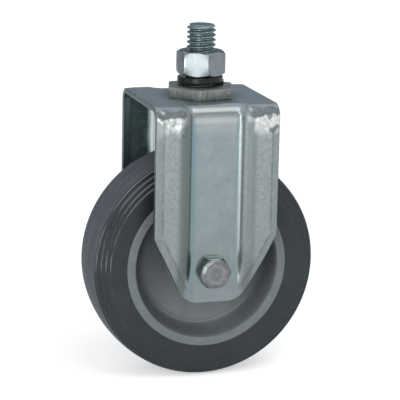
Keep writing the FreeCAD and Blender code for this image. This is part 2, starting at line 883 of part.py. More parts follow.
def make_end_spacer(side):
    """A flanged bush from the bearing's inner race out to the leg."""
    body = new_body(f"{side}_spacer")
    bore = "[bearing_bore_radius] + [spacer_bore_clearance]"
    length = f"({LEG_INSIDE} - {BOSS_FACE})"
    turn(
        body,
        f"{side}_spacer_bush",
        [
            (bore, "0"),
            ("[spacer_radius]", "0"),
            ("[spacer_radius]", f"{length} - [spacer_flange_width]"),
            ("[spacer_flange_radius]", f"{length} - [spacer_flange_width]"),
            ("[spacer_flange_radius]", length),
            (bore, length),
        ],
    )
    lay_on_axle(body, BOSS_FACE, side)
    return body


def make_bearing_spacer():
    """The tube that keeps the two inner races apart."""
    body = new_body("bearing_spacer")
    bore = "[bearing_bore_radius] + [spacer_bore_clearance]"
    turn(
        body,
        "bearing_spacer_tube",
        [
            (bore, f"-{BEARING_SEAT}"),
            ("[spacer_radius]", f"-{BEARING_SEAT}"),
            ("[spacer_radius]", BEARING_SEAT),
            (bore, BEARING_SEAT),
        ],
    )
    lay_on_axle(body)
    return body


pieces = [make_tyre(), make_hub()]
for side in ("front", "rear"):
    pieces += make_bearing(side)
    pieces.append(make_end_spacer(side))
pieces.append(make_bearing_spacer())
pieces.append(make_fork())
pieces.append(make_stem())
pieces.append(make_stem_nut())
pieces.append(make_spring_washer())
pieces.append(make_bolt())
pieces.append(make_axle_washer())
pieces += make_lock_nut()
doc.recompute()

# Every object has to be sound before anything is written
for item in doc.Objects:
    if "Invalid" in item.State or "Error" in item.State:
        raise RuntimeError(f"{item.Label} has failed: {item.State}")
for piece in pieces:
    if piece.Shape.isNull() or not piece.Shape.isValid():
        raise RuntimeError(f"{piece.Label} has no valid shape")

for piece in pieces:
    piece.Shape.exportStep(os.path.join("parts", piece.Label + ".step"))
    box = piece.Shape.BoundBox
    print(
        f"{piece.Label}: {len(piece.Shape.Solids)} solid, {piece.Shape.Volume:.1f} mm3,"
        f" x {box.XMin:.2f} {box.XMax:.2f} y {box.YMin:.2f} {box.YMax:.2f}"
        f" z {box.ZMin:.2f} {box.ZMax:.2f}"
    )
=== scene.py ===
import json
import math

import bpy
from mathutils import Matrix, Vector, noise


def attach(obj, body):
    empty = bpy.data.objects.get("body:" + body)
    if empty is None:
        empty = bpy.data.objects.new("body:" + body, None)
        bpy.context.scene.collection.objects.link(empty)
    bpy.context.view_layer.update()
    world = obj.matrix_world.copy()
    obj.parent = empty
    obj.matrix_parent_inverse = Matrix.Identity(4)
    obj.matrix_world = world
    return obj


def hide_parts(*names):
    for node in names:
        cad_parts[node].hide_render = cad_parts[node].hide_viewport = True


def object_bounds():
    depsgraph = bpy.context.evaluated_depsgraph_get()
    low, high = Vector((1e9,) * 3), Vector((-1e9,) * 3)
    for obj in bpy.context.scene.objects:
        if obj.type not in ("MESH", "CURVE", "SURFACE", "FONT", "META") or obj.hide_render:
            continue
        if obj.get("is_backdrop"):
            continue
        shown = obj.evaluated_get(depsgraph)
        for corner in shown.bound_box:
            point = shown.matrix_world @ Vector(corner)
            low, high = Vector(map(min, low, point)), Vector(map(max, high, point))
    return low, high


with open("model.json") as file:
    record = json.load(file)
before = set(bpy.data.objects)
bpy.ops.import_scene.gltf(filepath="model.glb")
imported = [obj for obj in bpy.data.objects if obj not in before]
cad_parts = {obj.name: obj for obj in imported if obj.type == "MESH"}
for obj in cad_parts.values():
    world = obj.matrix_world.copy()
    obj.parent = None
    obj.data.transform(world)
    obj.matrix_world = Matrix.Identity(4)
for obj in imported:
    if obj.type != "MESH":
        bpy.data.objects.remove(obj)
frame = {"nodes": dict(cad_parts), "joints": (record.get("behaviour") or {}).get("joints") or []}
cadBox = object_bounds()
mm = 0.001
axleHeight = frame["joints"][0]["pos_m"][2] / mm  # the wheel's axis, in millimetres
print("frame loaded")


# Mesh helpers, all in millimetres; finishes are given by their names
def makePiece(name, points, faces, finishNames, sharpAngle=38, faceSlots=None):
    mesh = bpy.data.meshes.new(name)
    mesh.from_pydata([(x * mm, y * mm, z * mm) for x, y, z in points], [], faces)
    for finish in finishNames:
        mesh.materials.append(finishes[finish])
    if faceSlots:
        mesh.polygons.foreach_set("material_index", faceSlots)
    mesh.polygons.foreach_set("use_smooth", [True] * len(faces))
    mesh.update()
    mesh.set_sharp_from_angle(angle=math.radians(sharpAngle))
    piece = bpy.data.objects.new(name, mesh)
    bpy.context.scene.collection.objects.link(piece)
    return piece


def roundedLine(corners, closed=True, steps=4):
    # corners are (x, y) or (x, y, radius)
    line = []
    for index, corner in enumerate(corners):
        here = Vector(corner[:2])
        atEnd = not closed and index in (0, len(corners) - 1)
        if len(corner) == 2 or atEnd:
            line.append(tuple(here))
            continue
        radius = corner[2]
        back = (Vector(corners[index - 1][:2]) - here).normalized()
        ahead = (Vector(corners[(index + 1) % len(corners)][:2]) - here).normalized()
        half = back.angle(ahead) / 2
        centre = here + (back + ahead).normalized() * radius / math.sin(half)
        first = here + back * radius / math.tan(half) - centre
        last = here + ahead * radius / math.tan(half) - centre
        sweep = first.angle(last)
        for step in range(steps + 1):
            share = step / steps
            near = first * math.sin((1 - share) * sweep) / math.sin(sweep)
            far = last * math.sin(share * sweep) / math.sin(sweep)
            line.append(tuple(centre + near + far))
    return line


def evenAngles(count):
    return [2 * math.pi * index / count for index in range(count)]


def hexAngles(s, perFlat=14, perCorner=5):
    # more samples round each corner, the rest along the flats
    cornerHalf = cornerHalfAngle(s)
    angles = []
    for side in range(6):
        corner = math.radians(s["turn"] + 60 * side)
        for step in range(perCorner):
            angles.append(corner - cornerHalf + 2 * cornerHalf * step / (perCorner - 1))
        free = math.radians(60) - 2 * cornerHalf
        for step in range(1, perFlat):
            angles.append(corner + cornerHalf + free * step / perFlat)
    return angles


def hexReach(s, angle):
    # how far a piece's hexagon with its rounded corners reaches at an angle
    sixth = math.radians(60)
    flat, soft = s["flats"] / 2, s["cornerRound"]
    away = (angle - math.radians(s["turn"]) + sixth / 2) % sixth - sixth / 2
    if abs(away) > cornerHalfAngle(s):
        return flat / math.cos(sixth / 2 - abs(away))
    centre = (flat - soft) / math.cos(sixth / 2)
    side = centre * math.sin(away)
    return centre * math.cos(away) + math.sqrt(soft**2 - side**2)


def cornerHalfAngle(s):
    # half the angle that a rounded corner takes up
    half, soft = math.radians(30), s["cornerRound"]
    centre = (s["flats"] / 2 - soft) / math.cos(half)
    return math.atan2(soft * math.sin(half), centre + soft * math.cos(half))


# A right hand thread, as shares of its pitch
threadForm = {"crestHalf": 1 / 16, "flank": 0.354, "depth": 0.6134, "straight": 0.65}


def threadRadius(crest, pitch, angle, height):
    form = threadForm
    phase = (height / pitch - angle / (2 * math.pi)) % 1
    share = min(max((abs(phase - 0.5) - form["crestHalf"]) / form["flank"], 0), 1)
    rounded = share * share * (3 - 2 * share)
    eased = form["straight"] * share + (1 - form["straight"]) * rounded
    return crest - form["depth"] * pitch * eased


def hexRow(s, height, inset=0.0):
    return lambda angle: (hexReach(s, angle) - inset, height)


def threadRow(s, height, limit):
    # a row of a piece's thread; limit holds the radius back at its ends
    return lambda angle: (limit(threadRadius(s["crest"], s["pitch"], angle, height)), height)


def upright(radius, angle, height):
    return radius * math.cos(angle), radius * math.sin(angle), height


def outFront(seat):
    def place(radius, angle, height):
        return radius * math.cos(angle), -seat - height, axleHeight + radius * math.sin(angle)

    return place


def outRear(seat):
    def place(radius, angle, height):
        return radius * math.cos(angle), seat + height, axleHeight - radius * math.sin(angle)

    return place


def onAxle(radius, angle, height):
    return radius * math.cos(angle), height, axleHeight + radius * math.sin(angle)


def polarMesh(rows, angles, place, closed=False):
    # a row is (radius, height) or gives them for an angle; a zero radius ends the mesh
    points, faces, rings = [], [], []
    for row in rows:
        if not callable(row) and row[0] == 0:
            rings.append([len(points)])
            points.append(place(0, 0, row[1]))
            continue
        rings.append(list(range(len(points), len(points) + len(angles))))
        for angle in angles:
            radius, height = row(angle) if callable(row) else row
            points.append(place(radius, angle, height))
    pairs = list(zip(rings, rings[1:]))
    if closed:
        pairs.append((rings[-1], rings[0]))
    count = len(angles)
    for lower, upper in pairs:
        for index in range(count):
            after = (index + 1) % count
            if len(lower) == 1:
                faces.append((lower[0], upper[after], upper[index]))
            elif len(upper) == 1:
                faces.append((lower[index], lower[after], upper[0]))
            else:
                faces.append((lower[index], lower[after], upper[after], upper[index]))
    return points, faces


def outwardFaces(points, faces):
    # turns all faces over where the closed mesh is inside out
    volume = 0
    for face in faces:
        first = Vector(points[face[0]])
        for second, third in zip(face[1:], face[2:]):
            volume += first.dot(Vector(points[second]).cross(Vector(points[third])))
    return faces if volume > 0 else [tuple(reversed(face)) for face in faces]


def ringFaces(ringCount, count):
    # faces between rings of count points each
    faces = []
    for low in range(0, (ringCount - 1) * count, count):
        for index in range(count):
            after = (index + 1) % count
            faces.append((low + index, low + after, low + count + after, low + count + index))
    return faces


def turnedPiece(name, corners, finish, place, count=160, steps=4):
    rows = roundedLine(corners, steps=steps)
    points, faces = polarMesh(rows, evenAngles(count), place, closed=True)
    return makePiece(name, points, outwardFaces(points, faces), [finish])


def settle(piece, body, node):
    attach(piece, body)
    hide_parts(node)


# Node helpers; each finds the node tree by a socket it is given
floatKind, colourKind = "NodeSocketFloat", "NodeSocketColor"
mixSockets = {"RGBA": (6, 7, 2), "FLOAT": (2, 3, 0)}  # both inputs and the output of a mix node
grainDepth = 0.2 * mm


def addNode(tree, kind, **values):
    node = tree.nodes.new(kind)
    for key, value in values.items():
        if hasattr(node, key):
            setattr(node, key, value)
        else:
            node.inputs[key.replace("_", " ")].default_value = value
    return node


def newGroup(name, inputs, outputs):
    # gives the tree, the sockets of its inputs and those of its outputs
    tree = bpy.data.node_groups.new(name, "ShaderNodeTree")
    for label, (kind, value) in inputs.items():
        socket = tree.interface.new_socket(label, in_out="INPUT", socket_type=kind)
        socket.default_value = value
    for label, kind in outputs.items():
        tree.interface.new_socket(label, in_out="OUTPUT", socket_type=kind)
    return tree, addNode(tree, "NodeGroupInput").outputs, addNode(tree, "NodeGroupOutput").inputs


def newMaterial(name, **values):
    material = bpy.data.materials.new(name)
    material.use_nodes = True
    tree = material.node_tree
    shader = tree.nodes["Principled BSDF"]
    for label, value in values.items():
        shader.inputs[label.replace("_", " ")].default_value = value
    return material, tree, shader


def treeOf(*values):
    return next(value.id_data for value in values if isinstance(value, bpy.types.NodeSocket))


def feed(value, socket):
    # links a socket, or sets a plain number or colour
    if isinstance(value, bpy.types.NodeSocket):
        socket.id_data.links.new(value, socket)
    elif isinstance(value, tuple) and len(value) == 3 and socket.type == "RGBA":
        socket.default_value = (*value, 1)
    else:
        socket.default_value = value


def placeGroup(tree, group, **values):
    node = tree.nodes.new("ShaderNodeGroup")
    node.node_tree = group
    for label, value in values.items():
        feed(value, node.inputs[label])
    return node.outputs


def calc(operation, first, second=0.0):
    node = addNode(treeOf(first, second), "ShaderNodeMath", operation=operation)
    feed(first, node.inputs[0])
    feed(second, node.inputs[1])
    return node.outputs[0]


def plus(first, second):
    return calc("ADD", first, second)


def minus(first, second):
    return calc("SUBTRACT", first, second)


def times(first, second):
    return calc("MULTIPLY", first, second)


def larger(first, second):
    return calc("MAXIMUM", first, second)


def size(value):
    return calc("ABSOLUTE", value)


def apart(first, second):
    return size(minus(first, second))


def hypotenuse(first, second):
    return calc("SQRT", plus(times(first, first), times(second, second)))


def ramp(value, start, end, low=0.0, high=1.0, smooth=True):
    # low at start and before it, high at end and beyond it
    kind = "SMOOTHSTEP" if smooth else "LINEAR"
    node = addNode(value.id_data, "ShaderNodeMapRange", interpolation_type=kind)
    feed(value, node.inputs["Value"])
    for label, number in zip(("From Min", "From Max", "To Min", "To Max"), (start, end, low, high)):
        feed(number, node.inputs[label])
    return node.outputs[0]


def blend(share, first, second, kind="RGBA"):
    one, two, out = mixSockets[kind]
    node = addNode(treeOf(share, first, second), "ShaderNodeMix", data_type=kind)
    feed(share, node.inputs["Factor"])
    feed(first, node.inputs[one])
    feed(second, node.inputs[two])
    return node.outputs[out]


def noiseValue(place, scale, detail=3.0, rough=0.5, stretch=None, turn=(0, 0, 0)):
    tree = place.id_data
    if stretch:
        mapped = addNode(tree, "ShaderNodeMapping", Rotation=turn, Scale=stretch)
        feed(place, mapped.inputs["Vector"])
        place = mapped.outputs[0]
    node = addNode(tree, "ShaderNodeTexNoise", Detail=detail, Roughness=rough)
    feed(scale, node.inputs["Scale"])
    feed(place, node.inputs["Vector"])
    return node.outputs["Fac"]


def objectPlace(tree):
    return addNode(tree, "ShaderNodeTexCoord").outputs["Object"]


def splitAxes(vector):
    node = addNode(vector.id_data, "ShaderNodeSeparateXYZ")
    feed(vector, node.inputs[0])
    return node.outputs


# Shared effects
effectSizes = {
    "finer": 6.5,  # how much finer the fine grain is than the broad one
    "fineShare": 0.42,
    "broadGrain": (5.0, 0.62),  # detail and roughness of the noise
    "fineGrain": (3.0, 0.55),
    "scratchGrain": (2.0, 0.5),
    "spread": (0.36, 0.64),
    "roughSpan": 0.09,
    "scratchTurns": ((0.3, 0.2, 0.9), (1.1, 0.7, -0.5)),
    "scratchStretch": (1.0, 1.0, 0.2),
    "scratchThin": (0.66, 0.74),
    "wearBreaks": (0.35, 0.6),
}


def buildMottle(s):
    # broad and fine grain in one: its colour, roughness and height
    inputs = {
        "Scale": (floatKind, 200.0),
        "Light": (colourKind, (0.5, 0.5, 0.5, 1)),
        "Dark": (colourKind, (0.3, 0.3, 0.3, 1)),
        "Rough": (floatKind, 0.4),
    }
    outputs = {"Color": colourKind, "Roughness": floatKind, "Height": floatKind}
    tree, given, result = newGroup("mottle", inputs, outputs)
    place = objectPlace(tree)
    broad = noiseValue(place, given["Scale"], *s["broadGrain"])
    fine = noiseValue(place, times(given["Scale"], s["finer"]), *s["fineGrain"])
    both = blend(s["fineShare"], broad, fine, "FLOAT")
    share = ramp(both, *s["spread"], smooth=False)
    lift = ramp(fine, 0.0, 1.0, -s["roughSpan"], s["roughSpan"], smooth=False)
    feed(blend(share, given["Dark"], given["Light"]), result["Color"])
    feed(plus(given["Rough"], lift), result["Roughness"])
    feed(both, result["Height"])
    return tree


def buildScratches(s):
    inputs = {"Scale": (floatKind, 60.0), "Amount": (floatKind, 0.5)}
    tree, given, result = newGroup("scratches", inputs, {"Mask": floatKind})
    lines = []
    for turn in s["scratchTurns"]:
        grain = noiseValue(
            objectPlace(tree), given["Scale"], *s["scratchGrain"], s["scratchStretch"], turn
        )
        lines.append(ramp(grain, *s["scratchThin"], smooth=False))
    feed(times(larger(*lines), given["Amount"]), result["Mask"])
    return tree


def buildEdgeWear(s):
    # worn where the surface bends outward sharply, and not all along the edge
    inputs = {"Start": (floatKind, 0.53), "End": (floatKind, 0.62), "Scale": (floatKind, 400.0)}
    tree, given, result = newGroup("edgeWear", inputs, {"Mask": floatKind})
    bend = addNode(tree, "ShaderNodeNewGeometry").outputs["Pointiness"]
    sharp = ramp(bend, given["Start"], given["End"], smooth=False)
    broken = ramp(noiseValue(objectPlace(tree), given["Scale"]), *s["wearBreaks"], smooth=False)
    feed(times(sharp, broken), result["Mask"])
    return tree


def buildPartPlace():
    # where a point lies in millimetres; up and reach are taken from the wheel's axle
    labels = ("X", "Y", "Z", "Aside", "Across", "Up", "Reach")
    tree, _, result = newGroup("partPlace", {}, {label: floatKind for label in labels})
    scaled = addNode(tree, "ShaderNodeVectorMath", operation="SCALE", Scale=1 / mm)
    feed(objectPlace(tree), scaled.inputs[0])
    x, y, z = splitAxes(scaled.outputs[0])
    up = minus(z, axleHeight)
    places = (x, y, z, size(x), size(y), up, hypotenuse(x, up))
    for label, value in zip(labels, places):
        feed(value, result[label])
    return tree


mottle = buildMottle(effectSizes)
scratches = buildScratches(effectSizes)
edgeWear = buildEdgeWear(effectSizes)
partPlace = buildPartPlace()
print("shared effects built")


# A zone has its colour, its share, and the limits it lies within. A limit names a measure, where the
# zone is nil and where it is full, and may give other strengths for these two. All limits hold
# together; of the entries in a list, the stronger counts. A share is a number or one more limit.
def zoneMask(measures, limits):
    mask = None
    for limit in limits:
        if isinstance(limit, list):
            step = larger(*[zoneMask(measures, entry) for entry in limit])
        elif len(limit) > 1:
            step = ramp(measures[limit[0]], *limit[1:])
        else:
            step = measures[limit[0]]
        mask = times(mask, step) if mask else step
    return mask


def paintZones(colour, zones, tones, measures):
    masks = {}
    for name, (tone, share, *limits) in zones.items():
        masks[name] = zoneMask(measures, limits)
        strength = zoneMask(measures, [share]) if isinstance(share, tuple) else share
        colour = blend(times(masks[name], strength), colour, tones[tone])
    return colour, masks


def addSkin(tree, s):
    return placeGroup(tree, mottle, Scale=s["scale"], Light=s["light"], Dark=s["dark"], Rough=s["rough"])


def dress(shader, colour, roughness, height, bump):
    relief = addNode(shader.id_data, "ShaderNodeBump", Strength=bump, Distance=grainDepth)
    feed(height, relief.inputs["Height"])
    feed(colour, shader.inputs["Base Color"])
    feed(roughness, shader.inputs["Roughness"])
    feed(relief.outputs[0], shader.inputs["Normal"])


# Materials
def makeMoulded(name, s):
    material, tree, shader = newMaterial(name)
    skin = addSkin(tree, s)
    dress(shader, skin["Color"], skin["Roughness"], skin["Height"], s["bump"])
    return material


def makePlated(name, s):
    material, tree, shader = newMaterial(name, Metallic=s["metallic"], Specular_IOR_Level=s["specular"])
    skin = addSkin(tree, s)
    scratch = placeGroup(tree, scratches, Scale=s["scale"] * s["scratchScale"], Amount=s["scratched"])
    wear = placeGroup(tree, edgeWear, Scale=s["scale"] * s["wearScale"])
    colour = blend(larger(scratch["Mask"], wear["Mask"]), skin["Color"], s["worn"])
    dress(shader, colour, skin["Roughness"], skin["Height"], s["bump"])
    return material


platedUsual = {
    "metallic": 0.85,
    "specular": 0.5,
    "scratched": 0.12,
    "scratchScale": 1.7,  # times the scale of the grain
    "wearScale": 2.0,
}
platedFinishes = {
    "forkEdge": {
        "light": (0.2, 0.23, 0.235),
        "dark": (0.09, 0.11, 0.115),
        "worn": (0.4, 0.43, 0.43),
        "scale": 500,
        "rough": 0.4,
        "bump": 0.2,
    },
    "stemZinc": {
        "light": (0.225, 0.295, 0.302),
        "dark": (0.1, 0.145, 0.155),
        # the worn tone on the thread's sharp crests is partly wear and partly a painted highlight
        "worn": (0.6, 0.66, 0.64),
        "scale": 560,
        "rough": 0.34,
        "bump": 0.15,
    },
    "collarZinc": {
        "light": (0.275, 0.297, 0.275),
        "dark": (0.09, 0.103, 0.1),
        "worn": (0.62, 0.64, 0.6),
        "scale": 640,
        "rough": 0.5,
        "metallic": 0.6,
        "bump": 0.5,
    },
    "nutZinc": {
        "light": (0.205, 0.235, 0.25),
        "dark": (0.165, 0.189, 0.205),
        "worn": (0.5, 0.53, 0.55),
        "scale": 160,
        "rough": 0.26,
        "metallic": 0.95,
        "bump": 0.03,
        "scratched": 0.08,
    },
    "boltZinc": {
        "light": (0.24, 0.25, 0.25),
        "dark": (0.12, 0.13, 0.135),
        "worn": (0.5, 0.5, 0.48),
        "scale": 460,
        "rough": 0.3,
        "bump": 0.2,
    },
    "washerBlack": {
        "light": (0.01, 0.012, 0.008),
        "dark": (0.004, 0.005, 0.003),
        "worn": (0.05, 0.055, 0.045),
        "scale": 400,
        "rough": 0.24,
        "metallic": 0.05,
        "specular": 0.25,
        "bump": 0.1,
    },
    "bearingSteel": {
        "light": (0.6, 0.6, 0.61),
        "dark": (0.5, 0.5, 0.52),
        "worn": (0.7, 0.7, 0.7),
        "scale": 300,
        "rough": 0.22,
        "metallic": 1.0,
        "bump": 0.03,
        "scratched": 0.15,
    },
    "spacerSteel": {
        "light": (0.42, 0.44, 0.45),
        "dark": (0.28, 0.3, 0.32),
        "worn": (0.6, 0.6, 0.6),
        "scale": 350,
        "rough": 0.38,
        "metallic": 0.8,
        "bump": 0.1,
    },
}
mouldedFinishes = {
    "cagePlastic": {
        "light": (0.55, 0.5, 0.36),
        "dark": (0.46, 0.41, 0.28),
        "scale": 300,
        "rough": 0.5,
        "bump": 0.05,
    },
    "lockRingPlastic": {
        "light": (0.04, 0.09, 0.24),
        "dark": (0.02, 0.06, 0.18),
        "scale": 300,
        "rough": 0.4,
        "bump": 0.1,
    },
}
finishes = {name: makePlated(name, {**platedUsual, **values}) for name, values in platedFinishes.items()}
finishes.update({name: makeMoulded(name, values) for name, values in mouldedFinishes.items()})

# The fork's outside: smooth panel, mottled wings, a plate painted darker and bluer as shade, and bends
# with painted highlights, painted shade and scuffs
forkSkin = {
    "metallic": 0.85,
    "wing": {"light": (0.345, 0.385, 0.39), "dark": (0.215, 0.25, 0.26), "scale": 780, "rough": 0.42},
    "panel": {"light": (0.28, 0.325, 0.335), "dark": (0.215, 0.26, 0.275), "scale": 110, "rough": 0.24},
    "onWing": (10.5, 12.5),
    "wear": {"Scale": 600, "Start": 0.58, "End": 0.74},
    "scratch": {"Scale": 420, "Amount": 0.05},
    "depth": (-15, -85),  # the legs are painted darker, as shade, from here to here
    "slantSlope": 0.505,
    "slantReach": 58.8,
    "footAside": 10.0,
    "stripAside": 24.3,
    "slantInset": 3.7,
    "arcHeight": -11.2,
    "linePath": (-55, -84, 11.3, 11.6),  # two heights and how far aside the painted highlight line lies there
    "wander": 8.0,
    # painted highlight spots where the shoulders meet the plate's bend
    "spots": ((14.6, -6.3, 1.3), (-24.6, -6.6, 1.2)),  # x, z and radius
    "roughened": 0.3,
    "panelBump": 0.15,
    "bump": 0.4,
}
forkNoises = {
    "cloud": (45,),
    "dusk": (60,),
    "breaks": (260,),
    "edge": (260, 4.0, 0.7),
    "grain": (900, 3.0, 0.7),
    "grit": (420, 4.0, 0.6, (1.0, 1.0, 0.55)),
    "patch": (120, 2.0),
    "marks": (170, 3.0, 0.6),
}
forkTones = {
    "wingDark": (0.215, 0.25, 0.26),
    "shoulder": (0.15, 0.18, 0.175),
    "burnished": (0.5, 0.52, 0.5),
    "bar": (0.225, 0.24, 0.235),
    "bendLine": (0.09, 0.105, 0.11),
    "teal": (0.13, 0.24, 0.27),
    "plate": (0.262, 0.318, 0.356),
    "plateRing": (0.12, 0.155, 0.18),
    "burnt": (0.06, 0.07, 0.07),
    "turned": (0.13, 0.145, 0.152),
    "strip": (0.11, 0.13, 0.135),
    "lilac": (0.3, 0.29, 0.36),
    "scuff": (0.8, 0.83, 0.8),
    "worn": (0.6, 0.63, 0.62),
}
# where the thin line of painted shade runs along the bends of the strip and the slant
stripLine = (("offStrip", 0.7, 0.2, 0, 0.5), ("z", -61, -59.5))
slantLine = (("offSlant", 1.1, 0.3, 0, 0.45), ("z", -60.5, -62.5), ("z", -87.5, -84))
forkZones = {
    # painted shade: a dark teal band in the crease at the channel's foot, stronger on the left
    "foot": ("teal", 1, ("offFoot", 1.9, 0.3), ("x", -5, 5, 0.6, 0.25), ("z", -10, -14)),
    "patches": ("lilac", 0.35, ("z", -72, -86), ("cloud", 0.4, 0.6)),
    # painted shade on the strip bent down along the wing's edge
    "strip": ("strip", 1, ("aside", 23.8, 25.2), ("x", -10, 10, 0.6, 0.16)),
    # painted shade: a dark band inside the slanted edges
    "slant": ("wingDark", 1, ("fromSlant", 4.3, 3.0), ("z", -60, -64), ("x", -5, 5, 0.75, 0.5)),
    # painted shade on the channel's shoulders, which are also rougher
    "shoulder": (
        "shoulder",
        0.75,
        ("aside", 12.2, 13.8),
        ("aside", 18.5, 15.8),
        ("z", -9.5, -13.5),
        ("x", -5, 5, 1.0, 0.7),
    ),
    # painted shade: the legs grow darker towards the toe
    "fall": ("shoulder", 0.42, ("depth",)),
    # a painted highlight line down the right wall of the channel
    "highlightLine": ("burnished", 0.85, ("offLine", 0.5, 0.15), ("z", -84.5, -81.5), ("z", -10.5, -13.5)),
    # painted shade: a thin dark line along the bends, broken up
    "bendLine": ("bendLine", 1, [stripLine, slantLine], ("breaks", 0.3, 0.6, 0.35, 1.0)),
    # painted shade: the plate's top in a darker, bluer tone
    "plate": ("plate", 1, ("z", -8.5, -5.5), ("dusk", 0.3, 0.7, 0.7, 1.0)),
    # painted shade: a dark ring round the stem's collar
    "plateRing": ("plateRing", 0.5, ("offStem", 21.5, 14.5), ("z", -8.5, -5.5)),
    # painted highlight tones: a bar on the bend over the panel, and a bright arc below it
    "bar": ("bar", 0.9, ("z", -9.2, -7.9), ("z", -5.2, -6.6), ("aside", 10.5, 8.5)),
    "arc": (
        "burnished",
        1,
        [[("offArc", 2.4, 0.4, 0, 0.55)], [("z", -19, -13.5, 0, 0.2)]],
        ("aside", 10.5, 8.5),
        ("z", -8.5, -9.5),
    ),
    # the wings' bends: rougher and painted darker as shade on top, scuffs with painted highlight below,
    # and darker marks under them
    # painted shade on the top of the wings' bends, which are rougher too
    "turned": (
        "turned",
        ("grain", 0.35, 0.65, 0.95, 0.6),
        ("ragged", -10.2, -8.6),
        ("ragged", -4.6, -6.4),
        ("aside", 12.5, 15),
        ("z", -4.9, -5.6),
    ),
    # painted highlight on the wings below their bends, stronger on the right
    "wingHighlight": (
        "scuff",
        1,
        ("ragged", -18.5, -14.5),
        ("ragged", -8.6, -10.2),
        ("aside", 15, 18),
        ("x", -5, 5, 0.12, 0.4),
    ),
    # scuffs with painted highlight on them
    "scuff": (
        "scuff",
        1,
        ("ragged", -15.8, -12.8),
        ("ragged", -8.6, -10.2),
        ("aside", 15, 17),
        ("grit", 0.34, 0.6),
        ("patch", 0.3, 0.4),
    ),
    # painted highlight spots
    "spots": ("scuff", 0.4, ("offSpot", 1, 0.1)),
    # darker marks under the scuffs
    "burnt": (
        "burnt",
        0.75,
        ("ragged", -19, -15.5),
        ("ragged", -11.8, -13.8),
        ("marks", 0.5, 0.62),
        ("aside", 14, 16),
    ),
    "worn": ("worn", 1, ("wear",)),
}


def makeForkZinc(s):
    material, tree, shader = newMaterial("forkZinc", Metallic=s["metallic"])
    place = objectPlace(tree)
    at = placeGroup(tree, partPlace)
    x, z, aside = at["X"], at["Z"], at["Aside"]
    measures = {name: noiseValue(place, *values) for name, values in forkNoises.items()}
    fromSlant = minus(plus(times(z, s["slantSlope"]), s["slantReach"]), aside)
    offSpot = None
    for spotX, spotZ, radius in s["spots"]:
        off = times(hypotenuse(minus(x, spotX), minus(z, spotZ)), 1 / radius)
        offSpot = calc("MINIMUM", offSpot, off) if offSpot else off
    wear = placeGroup(tree, edgeWear, **s["wear"])
    scratch = placeGroup(tree, scratches, **s["scratch"])
    measures.update(
        {
            "x": x,
            "z": z,
            "aside": aside,
            "fromSlant": fromSlant,
            "ragged": plus(z, times(minus(measures["edge"], 0.5), s["wander"])),
            "depth": ramp(z, *s["depth"], smooth=False),
            "offFoot": apart(aside, s["footAside"]),
            "offStrip": apart(aside, s["stripAside"]),
            "offSlant": apart(fromSlant, s["slantInset"]),
            "offArc": apart(z, s["arcHeight"]),
            "offLine": apart(x, ramp(z, *s["linePath"])),
            "offStem": hypotenuse(x, at["Y"]),
            "offSpot": offSpot,
            "wear": larger(wear["Mask"], scratch["Mask"]),
        }
    )
    wing, panel = addSkin(tree, s["wing"]), addSkin(tree, s["panel"])
    onWing = ramp(aside, *s["onWing"])
    colour = blend(onWing, panel["Color"], wing["Color"])
    colour, masks = paintZones(colour, forkZones, forkTones, measures)
    rough = blend(onWing, panel["Roughness"], wing["Roughness"], "FLOAT")
    rough = plus(rough, times(larger(masks["shoulder"], masks["turned"]), s["roughened"]))
    height = times(wing["Height"], ramp(onWing, 0.0, 1.0, s["panelBump"], 1.0))
    dress(shader, colour, rough, height, s["bump"])
    return material


# Dark teal inside as painted shade, with painted highlight on the channel's walls that face sideways; the
# scratches take the same light tone
insideSkin = {
    "light": (0.14, 0.2, 0.21),
    "dark": (0.08, 0.115, 0.12),
    # the light tone of the painted highlight on the walls, and of the scratches
    "wall": (0.75, 0.8, 0.78),
    "scale": 220,
    "rough": 0.4,
    "metallic": 0.8,
    "scratch": {"Scale": 300, "Amount": 0.15},
    "facing": (0.45, 0.8),
    "bump": 0.15,
}


def makeForkInside(s):
    material, tree, shader = newMaterial("forkInside", Metallic=s["metallic"])
    skin = addSkin(tree, s)
    facing = splitAxes(addNode(tree, "ShaderNodeTexCoord").outputs["Normal"])
    # painted highlight where the inside faces sideways
    colour = blend(ramp(size(facing[0]), *s["facing"]), skin["Color"], s["wall"])
    colour = blend(placeGroup(tree, scratches, **s["scratch"])["Mask"], colour, s["wall"])
    dress(shader, colour, skin["Roughness"], skin["Height"], s["bump"])
    return material


# The bolt: a painted highlight ring on its face, painted shade on its flats, a painted greenish reflection
# on its upper flat
headSkin = {
    "light": (0.21, 0.22, 0.222),
    "dark": (0.11, 0.115, 0.125),
    "scale": 460,
    "rough": 0.28,
    "metallic": 0.85,
    "ringReach": 3.7,
    "bands": (300, 2.0, 0.5, (0.3, 3.0, 1.0)),
    "wear": {"Scale": 900, "Start": 0.54, "End": 0.66},
    "bump": 0.2,
    # tones of the painted highlight ring, the painted shade on the flats and the painted reflection on the
    # upper flat
    "rim": (0.42, 0.42, 0.41),
    "side": (0.05, 0.075, 0.08),
    "upper": (0.72, 0.85, 0.78),
    "worn": (0.55, 0.56, 0.54),
}
onFlats = (("facingOut", 0.6, 0.3), ("y", -24, -24.5))
headZones = {
    # painted light: a highlight ring, shade on the flats and a reflection on the upper flat
    "rim": ("rim", 0.16, ("offRing", 1.3, 0.3)),
    "side": ("side", 0.9, *onFlats),
    "upper": ("upper", 1, *onFlats, ("facingUp", 0.8, 0.95), ("bands", 0.34, 0.5)),
    "worn": ("worn", 1, ("wear",)),
}


